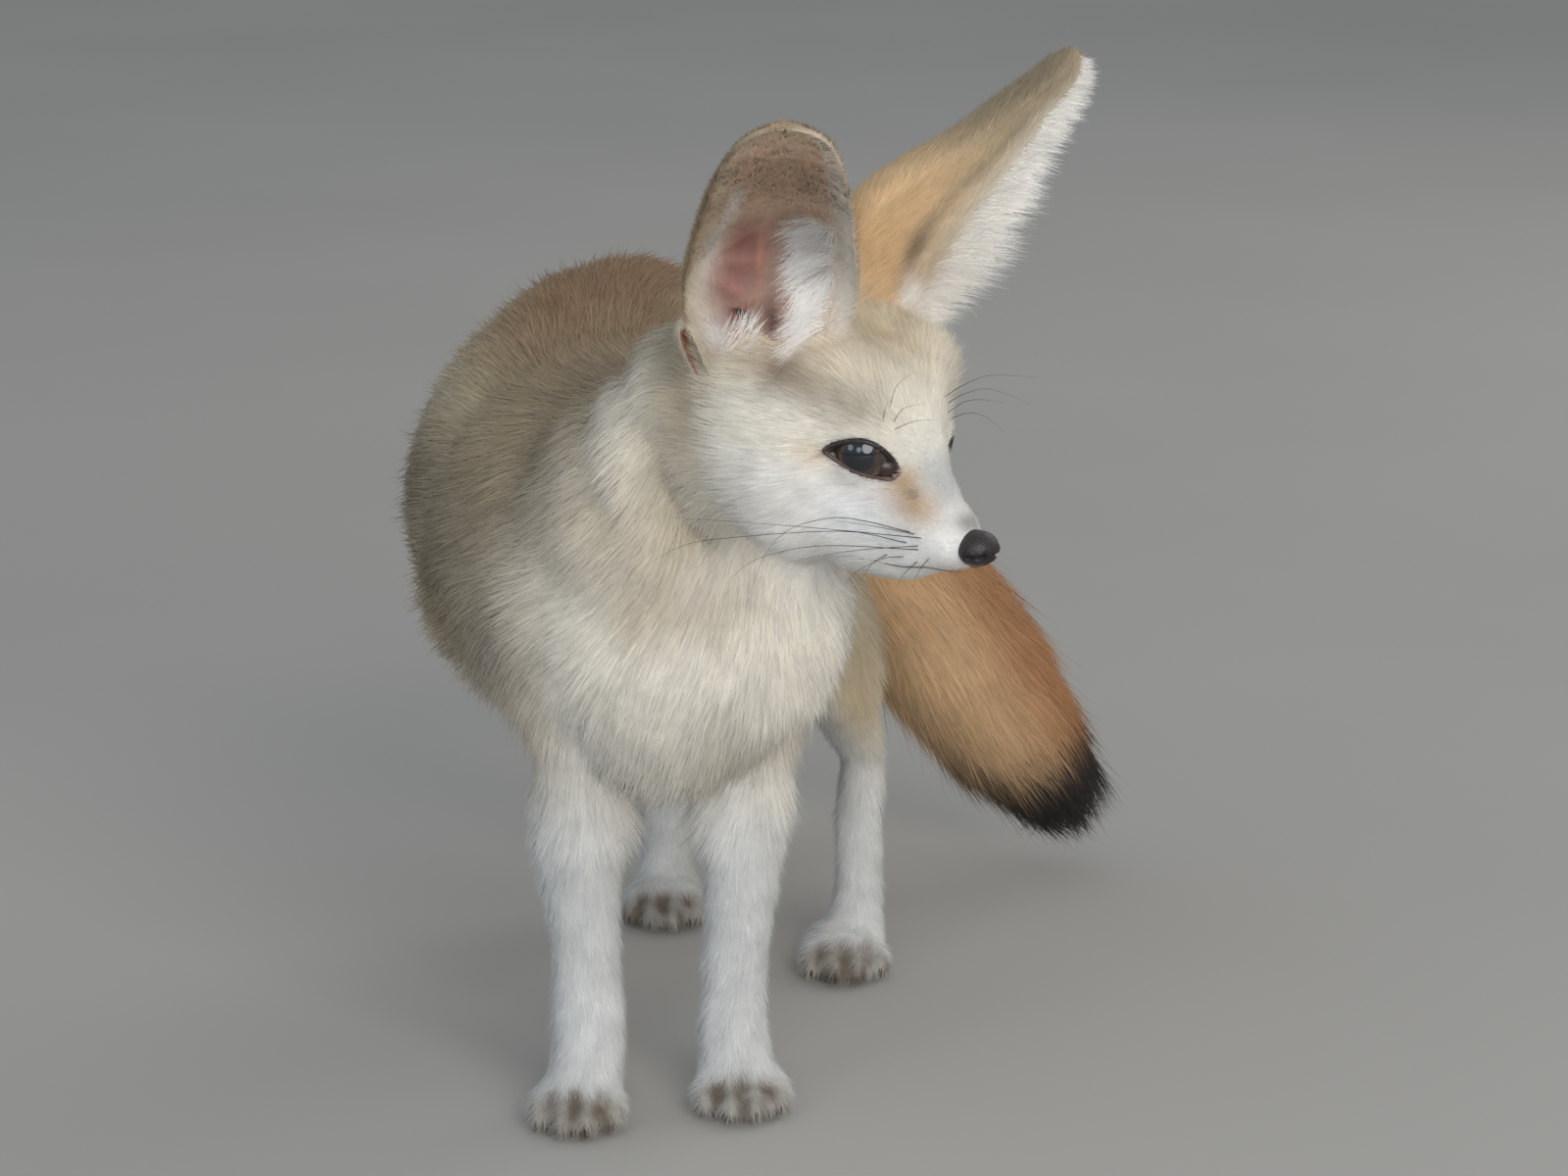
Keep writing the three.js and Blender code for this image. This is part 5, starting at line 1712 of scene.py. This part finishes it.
def pocket_mesh(ear):
    """The pocket's points and faces, and for each point its ring, from behind the ear into the slit."""
    leaf, fold, slit, deep = (POCKET[key] for key in ("leaf", "fold", "slit", "deep"))
    shapes = [
        (leaf * 0.9, fold, 0.96, -POCKET["back"]),
        (leaf, fold, 1.0, -1.6),
        (leaf * 0.98, fold, 1.0, -0.4),
        (leaf * 0.85, fold * 0.9, 0.96, 0.5),
        (leaf * 0.6, slit * 0.95, 0.9, 0.9),
        (slit * 1.1, slit * 0.8, 0.82, 0.5),
        (slit * 0.95, slit * 0.7, 0.78, -0.4),
        (slit * 0.7, slit * 0.5, 0.7, -1.4),
        (slit * 0.35, slit * 0.3, 0.6, -deep),
    ]
    rings = np.stack([pocket_ring(ear, *shape) for shape in shapes])
    points, faces = ring_mesh(rings, [rings[0].mean(axis=0), rings[-1].mean(axis=0)])
    row = np.concatenate([[0], np.repeat(np.arange(len(shapes)), rings.shape[1]), [len(shapes)]])
    return points, faced_out(points, faces), row


def make_pocket(name, material, fur, seed):
    points, faces, row = pocket_mesh(EARS[name])
    mesh = new_mesh(f"ear_pocket_{name}", points, faces)
    hide = Hide(mesh)
    hide.unwrap()
    colour = blend(plain(EAR_RIM, points), POCKET_SKIN, smooth(row, 4.2, 5.4))
    up = ear_axes(EARS[name])[1]
    hide.values.update(
        {key: np.full(len(points), value) for key, value in POCKET_COAT.items()},
        heading=plain(-up, points),
        colour=colour,
        ticking=np.zeros(len(points)),
    )
    hide.values["density"] *= (row > 0) & (row < POCKET_HAIRY_ROWS)
    paint(mesh, colour)
    add_piece(f"ear_pocket_{name}", mesh, material)
    tufts = build_tufts(hide, np.arange(len(hide.triangles)), seed, **TUFTS["pocket"])
    add_tufts(f"ear_pocket_coat_{name}", tufts, fur)


def make_ears(material, fur):
    for index, name in enumerate(EARS):
        mesh, u, v, cup = build_ear(name)
        hide = Hide(mesh)
        hide.unwrap()
        dress_ear(hide, name, u, v, cup)
        paint(mesh, np.clip(hide.values["skin_colour"], 0, 1))
        nodes = (f"ear_{name}_front", f"ear_{name}_back")
        add_piece(f"ear_{name}", mesh, material, nodes)
        tufts = build_tufts(hide, np.arange(len(hide.triangles)), SEEDS["ear"] + index, **TUFTS["ear"])
        add_tufts(f"ear_coat_{name}", tufts, fur)
        make_pocket(name, material, fur, SEEDS["pocket"] + index)


# Eyes, lids and nose
EYE_CORNER = dict(middle=(6.0, -1.9, 3.2), size=(4.9, 3.0, 3.5))
LID_DARK = srgb(40, 31, 30)
LID_MAUVE = srgb(96, 74, 70)
IRIS = srgb(66, 49, 42)
# The pupil is tinted blue-grey as a painted reflection of the sky.
PUPIL_PAINTED_REFLECTION = srgb(25, 26, 32)
EYE_EDGE = srgb(22, 16, 15)
CORNER_BROWN = srgb(64, 48, 46)
CORNEA = dict(height=0.9, reach=6.5)


def make_eyeball(name, side, eye):
    points, faces = ball_mesh(np.zeros(3), EYE["radius"], 40)
    out = points[:, 2] / EYE["radius"]
    colour = blend(plain(IRIS, points), PUPIL_PAINTED_REFLECTION, smooth(out, 0.87, 0.92))
    colour = blend(colour, EYE_EDGE, smooth(out, 0.68, 0.62))
    cornea = CORNEA["height"] * bell(np.hypot(points[:, 0], points[:, 1]), CORNEA["reach"]) * (out > 0)
    points = points * (1 + cornea / EYE["radius"])[:, None]
    mesh = new_mesh(f"eyeball_{name}", points @ eye_axes(side).T + eye_centre(side), faces)
    paint(mesh, colour)
    add_piece(f"eyeball_{name}", mesh, eye, (f"eye_{name}",))


def make_lids(name, side, lid, skin_tree):
    """The bare edge of the lids, round the opening."""
    axes = eye_axes(side)
    centre = eye_centre(side)
    rim = []
    for a, b in eye_outline(36):
        start = centre + axes @ np.array([a, b, 25.0])
        hit = skin_tree.ray_cast(Vector(start), Vector(-axes[:, 2]))[0]
        rim.append(np.array(hit) - axes[:, 2] * 0.3)
    rim = smooth_path(np.array(rim), 96, closed=True)
    upper = smooth((rim - centre) @ axes[:, 1], -2.5, 1.0)
    sides = 10
    points, faces = sweep(rim, 0.55 + 0.3 * upper, sides, closed=True, normal=axes[:, 2])
    mesh = new_mesh(f"lids_{name}", points, faced_out(points, faces))
    paint(mesh, np.repeat(blend(plain(LID_MAUVE, rim), LID_DARK, upper), sides, axis=0))
    add_piece(f"lids_{name}", mesh, lid)


def make_eye_corner(name, side, wet):
    axes = eye_axes(side)
    points, faces = ball_mesh(np.zeros(3), EYE_CORNER["size"], 22)
    points = points + np.array(EYE_CORNER["middle"])
    crease = 0.7 * bell(points[:, 0] - 5.5 - 0.4 * points[:, 1], 0.7) * (points[:, 2] > 3)
    points[:, 2] -= crease
    mesh = new_mesh(f"eye_corner_{name}", points @ axes.T + eye_centre(side), faces)
    # Painted shade darkens the crease by its depth.
    colour = blend(plain(CORNER_BROWN, points), LID_DARK, np.clip(crease, 0, 1) * 0.7)
    paint(mesh, blend(colour, LID_DARK, smooth(points[:, 0], 8.0, 10.5) * 0.6))
    add_piece(f"eye_corner_{name}", mesh, wet)


def make_eyes(eye, lid, wet, skin_tree):
    for side, name in ((1, "left"), (-1, "right")):
        make_eyeball(name, side, eye)
        make_lids(name, side, lid, skin_tree)
        make_eye_corner(name, side, wet)


NOSE_PAD = [
    (31.0, 0, -16.5, 4.3, 3.4, 4.2),
    (33.8, 0, -16.6, 5.9, 4.1, 5.2),
    (36.3, 0, -16.9, 6.3, 4.2, 5.6),
    (38.8, 0, -17.4, 5.1, 3.4, 4.5),
]
NOSTRIL = (38.9, 2.9, -16.6)
NOSE_CORE = (34.5, 0, -16.9)
NOSE_TOP = srgb(44, 36, 36)
NOSE_DARK = srgb(28, 22, 23)
NOSE_PINK = srgb(136, 94, 92)
NOSTRIL_DARK = srgb(10, 7, 8)


def make_nose(leather):
    points, faces = Loft(NOSE_PAD, side=(0, 1, 0)).mesh(rings=34, around=64, domes=(1, 1.4))
    inward = unit(np.array(NOSE_CORE) - points)
    x, y, z = points.T
    side = np.abs(y)
    from_nostril = np.stack([x, side, z], axis=1) - NOSTRIL
    dent = 2.6 * bell(np.linalg.norm(from_nostril / (2.0, 1.1, 0.9), axis=1), 1.1)
    slit = 1.3 * bell(z + 17.5 - 0.25 * (x - 38), 0.5) * smooth(side, 3.2, 4.4) * smooth(x, 34.8, 36.8)
    groove = 0.7 * bell(y, 0.5) * smooth(x, 36, 38) * smooth(z, -14.6, -16.6)
    points = points + inward * (dent + slit + groove)[:, None]
    points[:, 0] -= 0.4 * np.maximum(-17.4 - z, 0) * smooth(x, 33, 38)
    mesh = new_mesh("nose_pad", on_head(points), faces)
    low = smooth(z, -18.4, -20.8) * smooth(side, 1.0, 3.0)
    colour = blend(plain(NOSE_TOP, points), NOSE_DARK, smooth(z, -14.5, -17.5))
    colour = blend(colour, NOSE_PINK, low * 0.85)
    # Painted shade darkens the nostrils and their slits by how deep they sink.
    colour = blend(colour, NOSTRIL_DARK, np.clip((dent + slit) / 1.6, 0, 1))
    paint(mesh, colour)
    add_piece("nose_pad", mesh, leather, ("nose",))


# The line of the mouth, on the rows of the head: degrees under its middle height, and its wave
MOUTH = dict(rows=(0.3, 4.6), below=50, wave=5)
LIP_BROWN = srgb(112, 92, 84)


def make_lips(lid):
    """The dark line where the lips meet, along each side of the muzzle."""
    parts = []
    for side in (1, -1):
        t = np.linspace(*MOUTH["rows"], 30)
        below = np.radians(-MOUTH["below"] + MOUTH["wave"] * np.sin(t * 0.9))
        angle = below if side > 0 else math.pi - below
        line = on_head(shape_face(skull.at(t, angle, -head_depth(t) + 0.1)))
        taper = 0.08 + 0.1 * np.sin(np.linspace(0.5, math.pi - 0.1, len(t)))
        parts.append(sweep(line, taper, 8))
    points, faces = join_parts(parts)
    mesh = new_mesh("lips", points, faces)
    paint(mesh, plain(LIP_BROWN, points))
    add_piece("lips", mesh, lid)


# Claws from root to tip: how far ahead of the toe's middle, how far over the floor, and how thick
CLAW = [(3.6, 4.6, 0.8), (5.6, 4.3, 0.7), (7.0, 3.2, 0.45), (7.9, 1.8, 0.1)]
CLAW_BROWN = srgb(58, 47, 41)


def make_claws(horn):
    for name, leg in LEGS.items():
        parts = []
        for aside, ahead in toes(leg):
            line = np.array([on_paw(leg, (aside, ahead - reach, up)) for reach, up, _ in CLAW])
            radius = np.array([row[2] for row in CLAW])
            t = np.linspace(0, len(CLAW) - 1, 10)
            parts.append(sweep(smooth_path(line, 10), np.interp(t, np.arange(len(CLAW)), radius), 8))
        points, faces = join_parts(parts)
        add_piece(f"claws_{name}", new_mesh(f"claws_{name}", points, faces), horn)


# Whiskers as the photograph shows them, in its pixels: each starts on the skin and stands out from it.
# The first number is how far it leans out of the side of the head, for each millimetre of its length.
MUZZLE_WHISKERS = [
    (0.6, [(940, 549), (811, 537), (685, 528)]),
    (0.55, [(925, 554), (860, 542), (742, 549), (694, 558), (653, 581)]),
    (0.5, [(929, 543), (868, 529), (833, 531), (801, 543), (777, 573), (760, 624)]),
    (0.55, [(937, 561), (839, 557), (774, 570), (739, 596)]),
    (0.65, [(937, 557), (870, 562), (806, 573)]),
    (0.6, [(933, 545), (892, 537), (845, 530)]),
    (0.7, [(922, 568), (902, 570), (876, 582), (862, 597)]),
    (0.7, [(905, 566), (890, 575), (878, 592)]),
    (0.6, [(936, 573), (924, 584), (914, 599)]),
    (0.6, [(948, 570), (938, 582), (932, 597)]),
]
FAR_BROW_WHISKERS = [
    (0.5, [(962, 406), (985, 392), (1012, 383), (1062, 385)]),
    (0.5, [(966, 412), (984, 402), (1010, 397), (1052, 412)]),
    (0.5, [(966, 422), (984, 410), (1004, 408), (1026, 412)]),
    (0.5, [(970, 428), (985, 422), (1003, 424), (1024, 440)]),
]
NEAR_BROW_WHISKERS = [
    (0.3, [(908, 416), (915, 394), (933, 379)]),
    (0.3, [(901, 430), (903, 419), (906, 409)]),
    (0.3, [(912, 430), (922, 417), (945, 411)]),
    (0.3, [(913, 438), (933, 430), (958, 428)]),
]
WHISKER_RADIUS = 0.13
WHISKER_BLACK = srgb(26, 22, 20)


def pixel_ray(pixel):
    """The way the camera looks through a pixel of the photograph."""
    down = math.radians(CAMERA_DOWN)
    ahead = np.array([0, math.cos(down), -math.sin(down)])
    up = np.array([0, math.sin(down), math.cos(down)])
    aside = pixel[0] - PHOTO_SIZE[0] / 2
    above = PHOTO_SIZE[1] / 2 - pixel[1]
    return unit(ahead * FOCAL_PIXELS + np.array([1, 0, 0]) * aside + up * above)


def skin_behind(pixel, skin_tree):
    """The place on the head behind a pixel, or the nearest to its ray where it just misses the head."""
    ray = pixel_ray(pixel)
    hit = skin_tree.ray_cast(Vector(CAMERA_AT), Vector(ray))[0]
    if hit is not None:
        return np.array(hit)
    away = (HEAD["eyes_at"] - CAMERA_AT) @ ray
    along = [Vector(CAMERA_AT + ray * (away + step)) for step in range(-40, 41, 4)]
    return np.array(min((skin_tree.find_nearest(place) for place in along), key=lambda found: found[3])[0])


def whisker_line(pixels, lean, side, skin_tree):
    """The whisker behind some pixels, in the head's frame."""
    root = skin_behind(pixels[0], skin_tree)
    line = [to_head(root)]
    length = 0.0
    left = HEAD_AXES[:, 1]
    from_eyes = (CAMERA_AT - HEAD["eyes_at"]) @ left
    for before, pixel in zip(pixels, pixels[1:]):
        length += math.dist(before, pixel) * np.linalg.norm(root - CAMERA_AT) / FOCAL_PIXELS
        ray = pixel_ray(pixel)
        aside = line[0][1] + side * lean * length
        line.append(to_head(CAMERA_AT + ray * (aside - from_eyes) / (ray @ left)))
    return smooth_path(np.array(line), 16)


def make_whiskers(bristle, skin_tree):
    parts = []
    kinds = [(MUZZLE_WHISKERS, -1, True), (FAR_BROW_WHISKERS, 1, False), (NEAR_BROW_WHISKERS, -1, False)]
    for whiskers, side, both in kinds:
        for lean, pixels in whiskers:
            line = whisker_line(pixels, lean, side, skin_tree)
            taper = WHISKER_RADIUS * (1 if both else 0.75) * (1 - 0.85 * np.linspace(0, 1, len(line)))
            for mirror in (1, -1) if both else (1,):
                parts.append(sweep(on_head(line * (1, mirror, 1)), taper, 5))
    points, faces = join_parts(parts)
    add_piece("whiskers", new_mesh("whiskers", points, faces), bristle)


# The skin piece and its coat
LEG_PARTS = ("foreleg", "forepaw", "thigh", "shank", "hindpaw")
FLESH = [
    "head", "neck", "torso_front", "torso_rear", "tail_base", "tail_brush", "tail_tip",
    *[f"{part}_{side}" for side in ("left", "right") for part in LEG_PARTS],
]


def make_skin(hide_look):
    mesh = build_skin()
    closed = mesh_points(mesh)
    triangles = Hide(mesh).triangles
    tree = BVHTree.FromPolygons(closed.tolist(), triangles.tolist())
    set_points(mesh, open_eyes(closed))
    hide = Hide(mesh)
    hide.unwrap()
    dress_skin(hide)
    paint(mesh, hide.values["colour"] * 0.96)
    add_piece("skin", mesh, hide_look, FLESH)
    return hide, tree


def make_coat(hide, fur):
    """The coat in pieces by region: short straight tufts on the head and legs, long bent ones elsewhere."""
    names = ["head", "neck", "chest", "trunk", "tail", *LEGS]
    shares = np.stack([hide.values[f"at_{name}"] for name in names], axis=1)
    region = shares[hide.triangles].mean(axis=1).argmax(axis=1)
    for k, name in enumerate(names):
        triangles = np.flatnonzero(region == k)
        kind = "short" if name == "head" or name in LEGS else "long"
        tufts = build_tufts(hide, triangles, SEEDS["coat"] + k, **TUFTS[kind])
        add_tufts(f"coat_{name}", tufts, fur)


# Floor, light and camera
FLOOR_REACH = 12
FLOOR_GREY = srgb(178, 174, 168)


def make_floor():
    material = even_material("floor", FLOOR_GREY, roughness=0.9, dark=0.97, light=1.03, scale=3)
    mesh = bpy.data.meshes.new("floor")
    corners = [(x * FLOOR_REACH, y * FLOOR_REACH, 0) for x, y in ((-1, -1), (1, -1), (1, 1), (-1, 1))]
    mesh.from_pydata(corners, [], [(0, 1, 2, 3)])
    mesh.materials.append(material)
    floor = bpy.data.objects.new("floor", mesh)
    bpy.context.scene.collection.objects.link(floor)
    floor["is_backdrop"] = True


# Each light: its place in metres, its size, its power and its colour
LIGHTS = {
    "key": ((0.75, -1.75, 0.95), 1.4, 20.5, (1.0, 0.98, 0.95)),
    "fill": ((-1.3, -1.3, 0.9), 0.7, 2.8, (0.74, 0.86, 1.0)),
    "rim": ((1.1, 1.2, 1.2), 1.2, 5, (1.0, 0.98, 0.94)),
    "front": ((-0.3, -1.7, 0.75), 0.6, 3, (0.6, 0.76, 1.0)),
}
LIGHTS_AIM_AT = (0, 0, 0.15)
SKY = dict(colour=(0.86, 0.93, 1.0, 1), strength=0.44)


def add_light(name, place, size, power, colour):
    light = bpy.data.lights.new(name, "AREA")
    light.shape = "DISK"
    light.size = size
    light.energy = power
    light.color = colour
    holder = bpy.data.objects.new(name, light)
    bpy.context.scene.collection.objects.link(holder)
    holder.location = place
    towards = Vector(LIGHTS_AIM_AT) - Vector(place)
    holder.rotation_euler = towards.to_track_quat("-Z", "Y").to_euler()


def make_lights():
    world = bpy.data.worlds.new("studio")
    bpy.context.scene.world = world
    world.use_nodes = True
    background = world.node_tree.nodes["Background"]
    background.inputs["Color"].default_value = SKY["colour"]
    background.inputs["Strength"].default_value = SKY["strength"]
    for name, settings in LIGHTS.items():
        add_light(name, *settings)


# The photograph's camera: over the chest, a little higher than the ears, looking down at the fox
CAMERA_AT = np.array([30.0, -1080.0, 436.5])
CAMERA_DOWN = 14.6
FOCAL_PIXELS = 4160
PHOTO_SIZE = (1600, 1200)


def make_camera():
    camera = bpy.data.cameras.new("camera")
    camera.sensor_width = 36
    camera.lens = FOCAL_PIXELS / PHOTO_SIZE[0] * camera.sensor_width
    camera.clip_start = 0.05
    holder = bpy.data.objects.new("camera", camera)
    bpy.context.scene.collection.objects.link(holder)
    holder.location = (CAMERA_AT + OFFSET) * MM
    holder.rotation_euler = (math.radians(90 - CAMERA_DOWN), 0, 0)
    bpy.context.scene.camera = holder
    bpy.context.scene.view_settings.view_transform = "Standard"


def write_sizes():
    as_lists = lambda box: [[float(value) for value in corner] for corner in box]
    dict(cad=as_lists(CAD_BOX), visual=as_lists(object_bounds()))


make_camera()
make_lights()
make_floor()
fur = coat_material()
skin_hide, skin_tree = make_skin(hide_material())
make_coat(skin_hide, fur)
make_ears(ear_material(), fur)
lid = lid_material("lid skin", roughness=0.4)
make_eyes(eye_material(), lid, lid_material("wet corner", roughness=0.2), skin_tree)
make_nose(nose_material())
make_lips(lid)
make_claws(horn_material("claw horn", CLAW_BROWN))
make_whiskers(horn_material("whisker", WHISKER_BLACK), skin_tree)
write_sizes()
